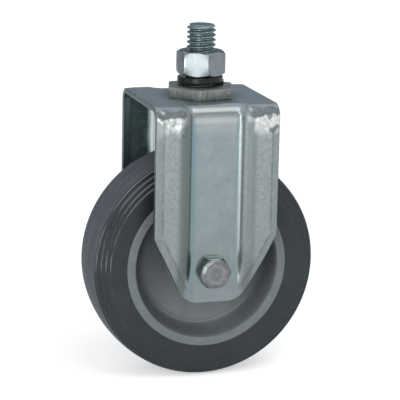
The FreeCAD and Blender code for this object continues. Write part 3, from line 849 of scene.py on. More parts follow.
def makeHeadZinc(s):
    material, tree, shader = newMaterial("headZinc", Metallic=s["metallic"])
    skin = addSkin(tree, s)
    place = addNode(tree, "ShaderNodeTexCoord")
    facing = splitAxes(place.outputs["Normal"])
    at = placeGroup(tree, partPlace)
    measures = {
        "y": at["Y"],
        "offRing": apart(at["Reach"], s["ringReach"]),
        "facingOut": size(facing[1]),
        "facingUp": facing[2],
        "bands": noiseValue(place.outputs["Object"], *s["bands"]),
        "wear": placeGroup(tree, edgeWear, **s["wear"])["Mask"],
    }
    colour = paintZones(skin["Color"], headZones, s, measures)[0]
    dress(shader, colour, skin["Roughness"], skin["Height"], s["bump"])
    return material


# The tyre: smudges and fine lines run round the wheel, and the steps' edges carry painted highlights in a
# few arcs
rubberUsual = {
    "around": 4.0,  # how far the smudges' pattern reaches round the wheel
    "streakGrain": (4.0, 0.6),
    "smudged": (0.42, 0.7),
    "edgeWidth": 0.28,
    "breaks": (0.9, 2.0),
    "broken": (0.3, 0.52),
    "elsewhere": 0.1,
    "shineArcs": ((2.28, 0.93, 0.99), (2.93, 0.965, 0.99)),  # middle as an angle, cosines at the ends
    "streakHeight": 0.5,
}
treadSkin = {
    "light": (0.068, 0.076, 0.092),
    "dark": (0.043, 0.049, 0.062),
    "smudge": (0.13, 0.14, 0.155),
    "glint": (0.3, 0.31, 0.32),
    "scale": 90,
    "rough": 0.7,
    "gloss": 0.5,
    "streakScale": 0.55,
    "streaks": 0.55,
    "edges": (49.6,),
    "shine": 0.3,
    "bump": 0.15,
}
sideSkin = {
    "light": (0.018, 0.026, 0.03),
    "dark": (0.012, 0.018, 0.022),
    "smudge": (0.03, 0.04, 0.045),
    "glint": (0.32, 0.34, 0.35),
    "scale": 120,
    "rough": 0.36,
    "gloss": 0.36,
    "streakScale": 0.8,
    "streaks": 0.35,
    "edges": (49.25, 47.35, 45.45, 43.5),
    "shine": 0.5,
    "bump": 0.02,
}


def makeRubber(name, s):
    material, tree, shader = newMaterial(name, Specular_IOR_Level=s["gloss"])
    skin = addSkin(tree, s)
    at = placeGroup(tree, partPlace)
    turn = calc("ARCTAN2", at["Up"], at["X"])
    spot = addNode(tree, "ShaderNodeCombineXYZ")
    feed(at["Y"], spot.inputs[0])
    feed(times(calc("SINE", turn), s["around"]), spot.inputs[1])
    feed(times(calc("COSINE", turn), s["around"]), spot.inputs[2])
    streak = noiseValue(spot.outputs[0], s["streakScale"], *s["streakGrain"])
    colour = blend(ramp(streak, *s["smudged"], 0.0, s["streaks"]), skin["Color"], s["smudge"])
    glint = 0.0
    # painted highlights along the steps' edges, strongest in the shine arcs
    for edge in s["edges"]:
        glint = plus(ramp(apart(at["Reach"], edge), s["edgeWidth"], 0.0), glint)
    shiny = s["elsewhere"]
    for middle, start, end in s["shineArcs"]:
        shiny = larger(ramp(calc("COSINE", minus(turn, middle)), start, end), shiny)
    breaks = ramp(noiseValue(spot.outputs[0], *s["breaks"]), *s["broken"])
    glint = times(glint, times(times(breaks, shiny), s["shine"]))
    height = plus(skin["Height"], times(streak, s["streakHeight"]))
    dress(shader, blend(glint, colour, s["glint"]), skin["Roughness"], height, s["bump"])
    return material


# The hub: moulded grey, painted shade up the wall of the dish and on its sides, painted light on the lower
# web and a painted highlight line at the foot
hubSkin = {
    "light": (0.17, 0.19, 0.2),
    "dark": (0.13, 0.15, 0.155),
    "wall": (0.08, 0.095, 0.1),
    "web": (0.19, 0.215, 0.225),
    "seam": (0.36, 0.38, 0.39),
    "scale": 150,
    "rough": 0.46,
    "highlightReach": 27.7,
    "dust": (90, 4.0, 0.6),
    "bump": 0.06,
}
inDish = ("across", 15.5, 13.5)
onWeb = ("reach", 28.5, 25.5)
hubZones = {
    # painted shade up the dish's wall, over its upper web and on its sides; painted light on the lower web
    # and a painted highlight line at its foot
    "wall": ("wall", 0.5, inDish, ("reach", 25.5, 31.8)),
    "shade": ("wall", 0.45, inDish, onWeb, ("up", -22, 0)),
    "web": ("web", 1, inDish, onWeb, ("up", -10, -25)),
    "flank": ("wall", 0.6, inDish, ("aside", 8, 26)),
    "seam": ("seam", 0.4, inDish, ("offSeam", 0.5, 0.1), ("up", -14, -24)),
    "dust": ("wall", 0.25, inDish, ("dust", 0.5, 0.7)),
}


def makeHubPlastic(s):
    material, tree, shader = newMaterial("hubPlastic")
    skin = addSkin(tree, s)
    at = placeGroup(tree, partPlace)
    measures = {label.lower(): at[label] for label in ("Across", "Reach", "Up", "Aside")}
    measures["offSeam"] = apart(at["Reach"], s["highlightReach"])
    measures["dust"] = noiseValue(objectPlace(tree), *s["dust"])
    colour = paintZones(skin["Color"], hubZones, s, measures)[0]
    dress(shader, colour, skin["Roughness"], skin["Height"], s["bump"])
    return material


finishes["forkZinc"] = makeForkZinc(forkSkin)
finishes["forkInside"] = makeForkInside(insideSkin)
finishes["headZinc"] = makeHeadZinc(headSkin)
finishes["treadRubber"] = makeRubber("treadRubber", {**rubberUsual, **treadSkin})
finishes["sideRubber"] = makeRubber("sideRubber", {**rubberUsual, **sideSkin})
finishes["hubPlastic"] = makeHubPlastic(hubSkin)
print("materials made")


# Tyre
tyreSizes = {
    "edgeRadius": 49.9,
    "crown": 0.88,
    "treadHalf": 11.8,
    "lead": 0.6,
    "stepDown": 1.9,
    "ledges": (0.8, 1.4, 1.0),
    "boreRadius": 36.1,
    "round": 0.28,
    "lineLead": 0.1,
    "slack": 0.05,  # faces this near the tread's edge are the side's
    "crownSteps": 10,
    "count": 300,
    "sharpAngle": 50,
}


def makeTyre(s):
    # half of the section is drawn, from the tread's edge down the steps to the bore
    edge, half, soft = s["edgeRadius"], s["treadHalf"], s["round"]
    shoulder = [(edge, half, soft)]
    radius, width = edge - s["lead"], half
    for ledge in s["ledges"]:
        shoulder.append((radius, width, soft))
        width += ledge
        shoulder.append((radius, width, soft))
        radius -= s["stepDown"]
    shoulder.append((radius, width, soft))
    shoulder.append((radius - s["lead"], width + s["lead"], soft))
    shoulder.append((s["boreRadius"], width + s["lead"]))
    onTread = [(edge + s["lineLead"], half - 1)]  # only gives the first corner its direction
    line = roundedLine(onTread + shoulder, closed=False)[1:]
    crown = []
    for step in range(1 - s["crownSteps"], s["crownSteps"]):
        share = step / s["crownSteps"]
        crown.append((edge + s["crown"] * (1 - share * share), half * share))
    rows = crown + line + [(radius, -width) for radius, width in reversed(line)]
    points, faces = polarMesh(rows, evenAngles(s["count"]), onAxle, closed=True)
    faces = outwardFaces(points, faces)
    slots = []
    for face in faces:
        middle = sum(abs(points[corner][1]) for corner in face) / len(face)
        slots.append(0 if middle < half - s["slack"] else 1)
    return makePiece("tyre_moulding", points, faces, ["treadRubber", "sideRubber"], s["sharpAngle"], slots)


settle(makeTyre(tyreSizes), "wheel", "tyre")
print("tyre made")

# Hub
hubSizes = {
    "seat": 11.0,
    "waistRadius": 9.5,
    "boreRadius": 11.0,
    "face": 18.0,
    "bossRadius": 14.0,
    "webHalf": 5.0,
    "footRadius": 28.6,
    "footHalf": 6.3,
    "rimInner": 32.4,
    "rimOuter": 36.1,
    "rimHalf": 15.9,
    "fillet": 2.0,
    "footFillet": 5.0,
    "boreEdge": 0.3,
    "bossEdge": 0.5,
    "rimEdges": (0.4, 0.3),
    "count": 240,
    "arcSteps": 6,
}


def makeHub(s):
    innerEdge, outerEdge = s["rimEdges"]
    half = [
        (s["waistRadius"], s["seat"]),
        (s["boreRadius"], s["seat"]),
        (s["boreRadius"], s["face"], s["boreEdge"]),
        (s["bossRadius"], s["face"], s["bossEdge"]),
        (s["bossRadius"], s["webHalf"], s["fillet"]),
        (s["footRadius"], s["footHalf"], s["footFillet"]),
        (s["rimInner"], s["rimHalf"], innerEdge),
        (s["rimOuter"], s["rimHalf"], outerEdge),
    ]
    other = [(corner[0], -corner[1], *corner[2:]) for corner in reversed(half)]
    count, steps = s["count"], s["arcSteps"]
    return turnedPiece("hub_moulding", half + other, "hubPlastic", onAxle, count, steps)


settle(makeHub(hubSizes), "wheel", "hub")
print("hub made")

# Fork: one sheet, drawn as rings of its section from the front toe over the plate
forkSizes = {
    "top": -4.5,
    "sheet": 2.3,
    "bend": 5.5,
    "halfWidth": 27.6,
    "panel": 24.7,
    "rise": 4.4,
    "footX": 10.95,
    "wallRun": 2.34,
    "footShare": 0.302,
    "shoulderShare": 0.6815,
    "stripWidth": 3.1,
    "stripDrop": 0.9,
    "stripRound": 6.0,
    "slantFrom": 0.5,  # the outline slants where it is this much narrower than the leg
    "slantWiden": 1.12,
    "shoulderGap": 0.4,
    "lastFlank": 1.0,
    "fadeTop": -69.0,
    "fadeEnd": -86.0,
    "fadePower": 1.4,
    "lastRise": 0.03,
    "cornerZ": -61.8,
    "cornerRound": 4.0,
    "toeHalf": 12.5,
    "toeZ": -91.7,
    "toeRound": 10.0,
    "edgeOuter": 0.35,
    "edgeInner": 0.2,
    "arcShare": 0.29,  # how far the middle of a rounded edge lies in from its corner
    "toeSpread": 0.6,
    "plateSteps": 30,
    "bendSteps": 10,
    "legSteps": 66,
    "cornerSteps": 4,
    "slantSteps": 32,
    "toeSteps": 14,
    "arcSteps": 12,
    "flankSteps": 16,
    "holeSteps": 72,
    "sharpAngle": 42,
    "boltHole": 4.15,
    "stemHole": 6.0,
    "cutterSpare": 5.0,
    "wave": 0.05,
    "waveLengths": (11, 4),
    "shortWave": 0.4,
    "legStart": (4, 6),  # how far under the top the leg's own waviness starts, and over what depth
    "markReach": 3,
    "marks": (
        # x, z, radius and depth of the dents in the front leg
        (20.9, -11.9, 1.5, 0.28),
        (22.4, -13.2, 0.9, 0.2),
        (-22.6, -30.0, 0.7, 0.22),
        (6.3, -23.5, 0.5, 0.12),
        (5.9, -40.8, 0.5, 0.12),
        (-21.5, -11.3, 1.3, 0.2),
    ),
}


def legSamples(s, rise):
    # half of the outer line from the middle to the strip, as place and normal
    slope = math.atan2(rise, s["wallRun"])
    panel, wing = s["panel"], s["panel"] + rise
    whole = math.hypot(s["wallRun"], rise) / math.tan(slope / 2)
    footRound, shoulderRound = s["footShare"] * whole, s["shoulderShare"] * whole
    foot = s["footX"] - footRound * math.tan(slope / 2)
    top = s["footX"] + s["wallRun"] + shoulderRound * math.tan(slope / 2)
    count = s["arcSteps"]
    samples = [((foot * step / count, panel), (0, 1)) for step in range(count)]
    for step in range(count + 1):
        turn = slope * step / count
        normal = (-math.sin(turn), math.cos(turn))
        x = foot - footRound * normal[0]
        y = panel + footRound * (1 - normal[1])
        samples.append(((x, y), normal))
    for step in range(count + 1):
        turn = slope * (1 - step / count)
        normal = (-math.sin(turn), math.cos(turn))
        x = top + shoulderRound * normal[0]
        y = wing - shoulderRound * (1 - normal[1])
        samples.append(((x, y), normal))
    return samples, top, wing


def wingSample(s, wing, rise, limit, x, top):
    # place and normal on the wing, its bend and the strip along its edge
    share = rise / s["rise"]
    slanted = limit < s["halfWidth"] - s["slantFrom"]
    width = s["stripWidth"] * (s["slantWiden"] if slanted else 1)
    bendX = max(limit - width, top + s["shoulderGap"])
    slope = math.atan2(s["stripDrop"], s["stripWidth"]) * share
    reach = s["stripRound"] * math.tan(slope / 2)
    if x <= bendX - reach:
        return (x, wing), (0, 1)
    if x >= bendX + reach * math.cos(slope):
        drop = (x - bendX) * math.tan(slope)
        return (x, wing - drop), (math.sin(slope), math.cos(slope))
    across = (x - bendX + reach) / s["stripRound"]
    level = math.sqrt(1 - across * across)
    return (x, wing - s["stripRound"] * (1 - level)), (across, level)


def skinRow(s, rise, limit, away, flat):
    # one skin's points (x, y) from -limit to limit; away is how far it lies from the
    # bend's line, 1 - flat the share of that which shows in the plan
    samples, top, wing = legSamples(s, rise)
    reach = away * flat - s["bend"]
    end = limit
    for _ in range(4):  # closes in on where the outline meets the strip's slope
        end = limit - reach * wingSample(s, wing, rise, limit, end, top)[1][0]
    count = s["flankSteps"]
    half = [(p[0] + reach * n[0], p[1] + reach * n[1]) for p, n in samples]
    if half[-1][0] > limit - s["lastFlank"]:
        squeeze = limit / (half[-1][0] + s["lastFlank"])
        half = [(x * squeeze, y) for x, y in half]
        lastX, lastY = half[-1]
        flank = [(lastX + (limit - lastX) * step / count, lastY) for step in range(1, count + 1)]
    else:
        flank = []
        for step in range(1, count + 1):
            x = top + (end - top) * step / count
            p, n = wingSample(s, wing, rise, limit, x, top)
            flank.append((p[0] + reach * n[0], p[1] + reach * n[1]))
    half += flank
    return [(-x, y) for x, y in reversed(half[1:])] + half


def sheetRing(s, rise, limit, flat, place, shrink=0):
    # a closed ring round the sheet; place(x, y, away) gives a point
    soft, hard, arc = s["edgeOuter"], s["edgeInner"], s["arcShare"]
    outer = s["bend"] - soft * shrink
    inner = s["bend"] - s["sheet"] + hard * shrink
    top = [place(x, y, outer) for x, y in skinRow(s, rise, limit - soft, outer, flat)]
    base = [place(x, y, inner) for x, y in skinRow(s, rise, limit - hard, inner, flat)]
    topEdge = skinRow(s, rise, limit, outer, flat)
    baseEdge = skinRow(s, rise, limit, inner, flat)
    ends = []
    for side, pick in ((1, -1), (-1, 0)):
        high = Vector(place(*topEdge[pick], outer))
        low = Vector(place(*baseEdge[pick], inner))
        down = (low - high).normalized()
        inward = Vector((-side, 0, 0))
        edge = [high + (down + inward) * arc * soft, high + down * soft]
        edge += [low - down * hard, low + (inward - down) * arc * hard]
        ends.append([tuple(point) for point in edge])
    return top + ends[0] + base[::-1] + ends[1][::-1]


def sideLevels(s):
    # heights down a leg with the half width of its outline at each
    levels = []
    upper = s["top"] - s["bend"]
    slope = math.atan2(s["cornerZ"] - s["toeZ"], s["halfWidth"] - s["toeHalf"])
    turn = math.pi / 2 - slope
    cut = s["cornerRound"] * math.tan(turn / 2)
    straightEnd = s["cornerZ"] + cut
    count = s["legSteps"]
    for step in range(1, count + 1):
        levels.append((upper + (straightEnd - upper) * step / count, s["halfWidth"]))
    for step in range(1, s["cornerSteps"] + 1):
        angle = turn * step / s["cornerSteps"]
        x = s["halfWidth"] - s["cornerRound"] * (1 - math.cos(angle))
        levels.append((straightEnd - s["cornerRound"] * math.sin(angle), x))
    reach = s["toeRound"] * math.tan(slope / 2)
    flatHalf = s["toeHalf"] - reach
    arcTop = s["toeZ"] + reach * math.sin(slope)
    first = levels[-1]
    last = (arcTop, s["toeHalf"] + reach * math.cos(slope))
    for step in range(1, s["slantSteps"] + 1):
        share = step / s["slantSteps"]
        levels.append(tuple(a + (b - a) * share for a, b in zip(first, last)))
    for step in range(1, s["toeSteps"] + 1):
        angle = turn + slope * step / s["toeSteps"]
        x = flatHalf + s["toeRound"] * math.cos(angle)
        levels.append((s["toeZ"] + s["toeRound"] * (1 - math.sin(angle)), x))
    return levels


def channelRise(s, z):
    if z >= s["fadeTop"]:
        return s["rise"]
    if z <= s["fadeEnd"]:
        return s["lastRise"]
    eased = ((s["fadeTop"] - z) / (s["fadeTop"] - s["fadeEnd"])) ** s["fadePower"]
    return s["rise"] * (1 - eased) + s["lastRise"] * eased


def legRings(s, side):
    # rings from just under the bend down to the toe; side is -1 at the front
    soft, arc = s["edgeOuter"], s["arcShare"]
    outline = sideLevels(s)
    toeHalf = outline[-1][1]
    levels = [(z, limit, 0) for z, limit in outline if z >= s["toeZ"] + soft]
    levels += [(s["toeZ"] + soft * arc, toeHalf + s["toeSpread"], arc), (s["toeZ"], toeHalf, 1)]
    rings = []
    for z, limit, shrink in levels:

        def place(x, y, away, z=z):
            return x, side * y, z

        rings.append(sheetRing(s, channelRise(s, z), limit, 1, place, shrink))
    return rings


def bendRings(s, side):
    # rings from the leg's top up round the bend to the plate
    rings = []
    middle = s["top"] - s["bend"]
    for step in range(s["bendSteps"] + 1):
        angle = math.radians(90 * step / s["bendSteps"])

        def place(x, y, away, lift=math.sin(angle)):
            return x, side * y, middle + away * lift

        rings.append(sheetRing(s, s["rise"], s["halfWidth"], math.cos(angle), place))
    return rings


def dented(s, point):
    # the sheet is never quite flat, and the front leg has a few marks
    long, short = s["waveLengths"]
    wave = s["wave"] * (1 + noise.noise(point / long) + s["shortWave"] * noise.noise(point / short))
    side = -1 if point.y < 0 else 1
    start, depth = s["legStart"]
    onLeg = min(max((s["top"] - start - point.z) / depth, 0), 1)
    moved = point - Vector((0, side * onLeg * wave, (1 - onLeg) * wave))
    if point.y < -s["panel"] + 1:
        for x, z, radius, depth in s["marks"]:
            away = math.hypot(point.x - x, point.z - z) / radius
            if away < s["markReach"]:
                moved.y += depth * math.exp(-away * away)
    return moved


def makeFork(s):
    front = list(reversed(legRings(s, -1))) + bendRings(s, -1)
    back = list(reversed(bendRings(s, 1))) + legRings(s, 1)
    plate = []
    for step in range(1, s["plateSteps"]):
        share = step / s["plateSteps"]
        pairs = zip(front[-1], back[0])
        plate.append([tuple(Vector(a).lerp(Vector(b), share)) for a, b in pairs])
    rings = front + plate + back
    count = len(rings[0])
    points = [point for ring in rings for point in ring]
    faces = ringFaces(len(rings), count)
    wide = (count - 8) // 2  # points on each skin; the other eight round the two edges
    for base, flip in ((0, True), ((len(rings) - 1) * count, False)):
        strip = []
        for index in range(wide - 1):
            over = 2 * wide + 3 - index
            strip.append((base + index, base + index + 1, base + over - 1, base + over))
        right = tuple(base + wide - 1 + index for index in range(6))
        left = (base, *(base + 2 * wide + 3 + index for index in range(5)))
        strip += [right, left]
        faces += [tuple(reversed(face)) for face in strip] if flip else strip
    points = [dented(s, Vector(point)) for point in points]
    slots = []
    for face in faces:
        spots = [corner % count for corner in face]
        if len(face) > 4 or face[0] % count == 0 and face[-1] % count == 2 * wide + 3:
            slots.append(2)
        elif all(spot < wide for spot in spots):
            slots.append(0)
        elif all(wide + 4 <= spot < 2 * wide + 4 for spot in spots):
            slots.append(1)
        else:
            slots.append(2)
    faces = outwardFaces(points, faces)
    finishNames = ["forkZinc", "forkInside", "forkEdge"]
    return makePiece("pressed_fork", points, faces, finishNames, s["sharpAngle"], slots)


def cutHoles(piece, s):
    # the bolt's hole through both legs and the stem's hole in the plate
    reach = s["panel"] + s["rise"] + s["cutterSpare"]
    cutters = []
    for radius, turn, place, half in (
        (s["boltHole"], math.pi / 2, (0, 0, axleHeight * mm), reach),
        (s["stemHole"], 0, (0, 0, (s["top"] - s["sheet"] / 2) * mm), s["cutterSpare"]),
    ):
        rows = [(0, -half), (radius, -half), (radius, half), (0, half)]
        points, faces = polarMesh(rows, evenAngles(s["holeSteps"]), upright)
        cutter = makePiece("cutter", points, outwardFaces(points, faces), [])
        cutter.matrix_world = Matrix.Translation(place) @ Matrix.Rotation(turn, 4, "X")
        hole = piece.modifiers.new("hole", "BOOLEAN")
        hole.operation = "DIFFERENCE"
        hole.solver = "EXACT"
        hole.object = cutter
        cutters.append(cutter)
    bpy.context.view_layer.update()
    shaped = piece.evaluated_get(bpy.context.evaluated_depsgraph_get())
    mesh = bpy.data.meshes.new_from_object(shaped)
    piece.modifiers.clear()
    piece.data = mesh
    for cutter in cutters:
        bpy.data.objects.remove(cutter)


forkPiece = makeFork(forkSizes)
cutHoles(forkPiece, forkSizes)
settle(forkPiece, "carrier", "fork")
print("fork made")

# Stem with its collar and rivet, one turned piece
stemSizes = {
    "crest": 6.35,
    "pitch": 2.117,
    "height": 26.8,
    "tip": 1.0,
    "flats": 27.6,
    "collarDepth": 4.5,
    "turn": 13.4,
    "edge": 0.35,
    "edgeArc": 0.1,
    "cornerRound": 0.5,
    "spigot": 6.0,
    "sheet": 2.3,
    "rivetRadius": 8.5,
    "rivetHeight": 2.4,
    "rowsPerPitch": 20,
    "faceRing": 2.0,
    "tipInset": 0.6,
    "collarFrom": 7.0,
}


def makeStem(s):
    crest, top, tip = s["crest"], s["height"], s["tip"]
    lower = -s["collarDepth"]
    rivetTop = lower - s["sheet"]
    rivetFoot = rivetTop - s["rivetHeight"]
    dome = [
        (0, rivetFoot),
        (s["rivetRadius"], rivetFoot, s["rivetHeight"] / 2),
        (s["rivetRadius"], rivetTop),
    ]
    rows = roundedLine(dome, closed=False, steps=6)
    rows += [(s["spigot"], rivetTop), (s["spigot"], lower)]
    edge, arc = s["edge"], s["edgeArc"]
    rows += [hexRow(s, lower, edge), hexRow(s, lower + arc, arc), hexRow(s, lower + edge)]
    rows += [hexRow(s, lower / 2), hexRow(s, -edge), hexRow(s, -arc, arc), hexRow(s, 0, edge)]
    rows += [(crest + s["faceRing"], 0)]
    count = round(top / s["pitch"] * s["rowsPerPitch"])
    for step in range(count + 1):
        height = top * step / count
        cap = crest - max(0, height - top + tip)
        rows.append(threadRow(s, height, lambda reach, cap=cap: min(reach, cap)))
    rows += [(crest - tip - s["tipInset"], top), (0, top)]
    points, faces = polarMesh(rows, hexAngles(s), upright)
    faces = outwardFaces(points, faces)
    slots = []
    for face in faces:
        middle = sum(points[corner][2] for corner in face) / len(face)
        reach = max(math.hypot(*points[corner][:2]) for corner in face)
        onCollar = lower - edge < middle < edge and reach > s["collarFrom"]
        slots.append(1 if onCollar else 0)
    return makePiece("threaded_stem_turning", points, faces, ["stemZinc", "collarZinc"], faceSlots=slots)


settle(makeStem(stemSizes), "carrier", "threaded_stem")
print("stem made")

# Nut on the stem
nutSizes = {
    "flats": 19.05,
    "height": 10.4,
    "seat": 4.95,
    "turn": 31.5,
    "cornerRound": 0.35,
    "crest": 6.42,
    "pitch": 2.117,
    "sink": 6.95,
}


# What every nut shares: where its chamfer starts, how steep it is, and its rows near the edges
nutForm = {
    "chamferInset": 0.15,
    "chamferSlope": 30,
    "chamferEnd": 0.9,
    "flatInset": 0.25,
    "faceInset": 0.3,
    "rowsPerPitch": 16,
    "sharpAngle": 30,
}


def makeNut(name, s, finish, place, crown=None):
    # a hexagon nut with its inner thread; crown adds a lock nut's collar
    form, half = nutForm, s["flats"] / 2
    slope = math.tan(math.radians(form["chamferSlope"]))
    start, face = half - form["chamferInset"], half - form["faceInset"]
    low, high = s["seat"], s["seat"] + s["height"]

    def chamferRow(side, share):
        edge = low if side < 0 else high

        def row(angle):
            reach = start + (hexReach(s, angle) - start) * share
            return reach, edge - side * (reach - start) * slope

        return row

    def flatRow(share):
        def row(angle):
            radius = hexReach(s, angle)
            drop = (radius - start) * slope + form["flatInset"]
            return radius, low + drop + (high - low - 2 * drop) * share

        return row

    rows = []
    count = max(8, round(s["height"] / s["pitch"] * form["rowsPerPitch"]))
    for step in range(count + 1):
        height = low + (high - low) * step / count
        sink = max(s["sink"] - min(height - low, high - height), 0)
        rows.append(threadRow(s, height, lambda reach, sink=sink: max(reach, sink)))
    if crown:
        rows += crown(high)
    end = form["chamferEnd"]
    rows += [(face, high), chamferRow(1, 0), chamferRow(1, end)]
    rows += [flatRow(1), flatRow(0.5), flatRow(0)]
    rows += [chamferRow(-1, end), chamferRow(-1, 0), (face, low)]
    points, faces = polarMesh(rows, hexAngles(s), place, closed=True)
    return makePiece(name, points, outwardFaces(points, faces), [finish], form["sharpAngle"])


settle(makeNut("stem_nut", nutSizes, "nutZinc", upright), "carrier", "mounting_nut")
print("nut made")

# Spring washer
washerSizes = {
    "bore": 6.65,
    "wide": 3.5,
    "high": 2.9,
    "climb": 2.05,
    "start": -20.0,
    "coil": 348.0,
    "round": 0.45,
    "steps": 140,
    "endShare": 0.0012,
    "endSwell": 0.9,
}


def makeSpringWasher(s):
    corners = [
        (s["bore"], 0, s["round"]),
        (s["bore"] + s["wide"], 0, s["round"]),
        (s["bore"] + s["wide"], s["high"], s["round"]),
        (s["bore"], s["high"], s["round"]),
    ]
    section = roundedLine(corners)
    centre = (s["bore"] + s["wide"] / 2, s["high"] / 2)
    rings = []
    # the two end rings are drawn in a little so that the cut ends have soft edges
    shares = [s["endShare"], *(step / s["steps"] for step in range(1, s["steps"])), 1 - s["endShare"]]
    stops = [(0, s["endSwell"]), *((share, 1) for share in shares), (1, s["endSwell"])]
    for share, swell in stops:
        angle = math.radians(s["start"] + s["coil"] * share)
        ring = []
        for radius, height in section:
            reach = centre[0] + (radius - centre[0]) * swell
            level = centre[1] + (height - centre[1]) * swell + s["climb"] * share
            ring.append(upright(reach, angle, level))
        rings.append(ring)
    count = len(section)
    points = [point for ring in rings for point in ring]
    faces = ringFaces(len(rings), count)
    faces.append(tuple(range(count - 1, -1, -1)))
    faces.append(tuple(range(len(points) - count, len(points))))
    return makePiece("spring_washer_coil", points, outwardFaces(points, faces), ["washerBlack"])


settle(makeSpringWasher(washerSizes), "carrier", "spring_washer")
print("spring washer made")

# Axle bolt
boltSizes = {
    "seat": 24.7,
    "flats": 13.0,
    "turn": 0.0,
    "cornerRound": 0.8,
    "head": 5.3,
    "faceRadius": 4.9,
    "faceSlope": 29.5,
    "cornerFall": 2.0,
    "dimple": 3.2,
    "dimpleDepth": 0.7,
    "dimpleShares": (0.3, 0.55, 0.75, 0.9, 1.0),
    "dimplePower": 2.2,
    "dimpleRim": 0.3,
    "faceRims": (0.45, 0.2),
    "faceLip": 0.02,
    "chamferLip": 0.07,
    "chamferShares": (0.06, 0.35, 0.62, 0.72, 0.82, 0.92, 0.99),
    "underChamfer": 0.3,
    "seatEdge": (0.25, 0.2),
    "crest": 3.95,
    "length": 60.0,
    "pitch": 1.25,
    "threaded": 11.0,
    "tip": 1.0,
    "rowsPerPitch": 14,
    "fadeRows": 28,
    "tipInset": 0.5,
    "perFlat": 12,
    "sharpAngle": 40,
}


def makeBolt(s):
    fall = math.tan(math.radians(s["faceSlope"]))
    start, head, lip = s["faceRadius"], s["head"], s["faceLip"]
    shank, length = s["crest"], s["length"]

    def chamferDrop(reach):
        # the corners fall away far more steeply than the face
        beyond = max(reach - s["flats"] / 2, 0)
        return (reach - beyond - start) * fall + beyond * s["cornerFall"]

    def chamferRow(share):
        def row(angle):
            reach = start + (hexReach(s, angle) - start) * share
            return reach, head - s["chamferLip"] - chamferDrop(reach)

        return row

    def underChamfer(angle):
        radius = hexReach(s, angle)
        return radius, head - chamferDrop(radius) - s["underChamfer"]

    rows = [(0, head - s["dimpleDepth"])]
    for share in s["dimpleShares"]:
        depth = s["dimpleDepth"] * (1 - share ** s["dimplePower"])
        rows.append((s["dimple"] * share, head - depth - lip))
    inner, outer = s["faceRims"]
    rows += [(s["dimple"] + s["dimpleRim"], head), (start - inner, head), (start - outer, head - lip)]
    rows += [chamferRow(share) for share in s["chamferShares"]]
    edge, inset = s["seatEdge"]
    rows += [underChamfer, hexRow(s, head / 2), hexRow(s, edge), hexRow(s, 0, inset)]
    plain = length - s["threaded"]
    rows += [(shank, 0), (shank, -plain / 2), (shank, -plain)]
    count = round(s["threaded"] / s["pitch"] * s["rowsPerPitch"])
    for step in range(1, count + 1):
        height = -plain - s["threaded"] * step / count
        cap = shank - max(0, s["tip"] - length - height)
        fade = min(1, step / s["fadeRows"])

        def limit(reach, cap=cap, fade=fade):
            return min(shank + (reach - shank) * fade, cap)

        rows.append(threadRow(s, height, limit))
    rows += [(shank - s["tip"] - s["tipInset"], -length), (0, -length)]
    points, faces = polarMesh(rows, hexAngles(s, s["perFlat"]), outFront(s["seat"]))
    faces = outwardFaces(points, faces)
    return makePiece("axle_bolt_forging", points, faces, ["headZinc"], s["sharpAngle"])


settle(makeBolt(boltSizes), "carrier", "axle_bolt")
print("bolt made")

# Hardware at the rear: washer, lock nut and its ring
rearSizes = {
    "leg": 24.7,
    "washer": 1.6,
    "washerRadius": 8.0,
    "washerBore": 4.15,
    "crownRadius": 5.8,
    "crownTop": 2.0,
    "ringRadius": 5.0,
    "ringBore": 3.95,
    "ringDrop": 0.15,
    "edge": 0.15,
    "washerRim": 0.35,
    "crownEdges": (0.2, 0.5),
    "ringEdges": (0.2, 0.4),
    "washerCount": 128,
    "ringCount": 96,
}
lockNutSizes = {
    "flats": 13.0,
    "height": 6.0,
    "seat": 0.0,
    "turn": 0.0,
    "cornerRound": 0.3,
    "crest": 4.0,
    "pitch": 1.25,
    "sink": 4.3,
}


def makeRearHardware(s, nut):
    edge, thick = s["edge"], s["washer"]
    corners = [
        (s["washerBore"], 0, edge),
        (s["washerRadius"], 0, s["washerRim"]),
        (s["washerRadius"], thick, edge),
        (s["washerBore"], thick, edge),
    ]
    place = outRear(s["leg"])
    washer = turnedPiece("axle_washer_disc", corners, "boltZinc", place, s["washerCount"])
    settle(washer, "carrier", "axle_washer")

    def crown(high):
        inner, outer = s["crownEdges"]
        line = [
            (s["ringRadius"], high),
            (s["ringRadius"], high + s["crownTop"], inner),
            (s["crownRadius"], high + s["crownTop"], outer),
            (s["crownRadius"], high),
        ]
        return roundedLine(line, closed=False, steps=5)

    place = outRear(s["leg"] + thick)
    lockNut = makeNut("lock_nut", nut, "boltZinc", place, crown)
    settle(lockNut, "carrier", "axle_nut")
    low, high = nut["height"], nut["height"] + s["crownTop"] - s["ringDrop"]
    outer, inner = s["ringEdges"]
    corners = [
        (s["ringBore"], low),
        (s["ringRadius"], low),
        (s["ringRadius"], high, outer),
        (s["ringBore"], high, inner),
    ]
    ring = turnedPiece("lock_nut_ring", corners, "lockRingPlastic", place, s["ringCount"])
    settle(ring, "carrier", "nut_locking_ring")


makeRearHardware(rearSizes, lockNutSizes)
print("rear hardware made")

# Flanged spacers between the legs and the bearings
spacerSizes = {
    "bore": 4.15,
    "bush": 5.9,
    "flange": 9.5,
    "thick": 1.6,
    "seat": 18.0,
    "length": 4.4,
    "boreEdge": 0.1,
    "bushEdge": 0.2,
    "flangeEdge": 0.25,
    "count": 128,
}


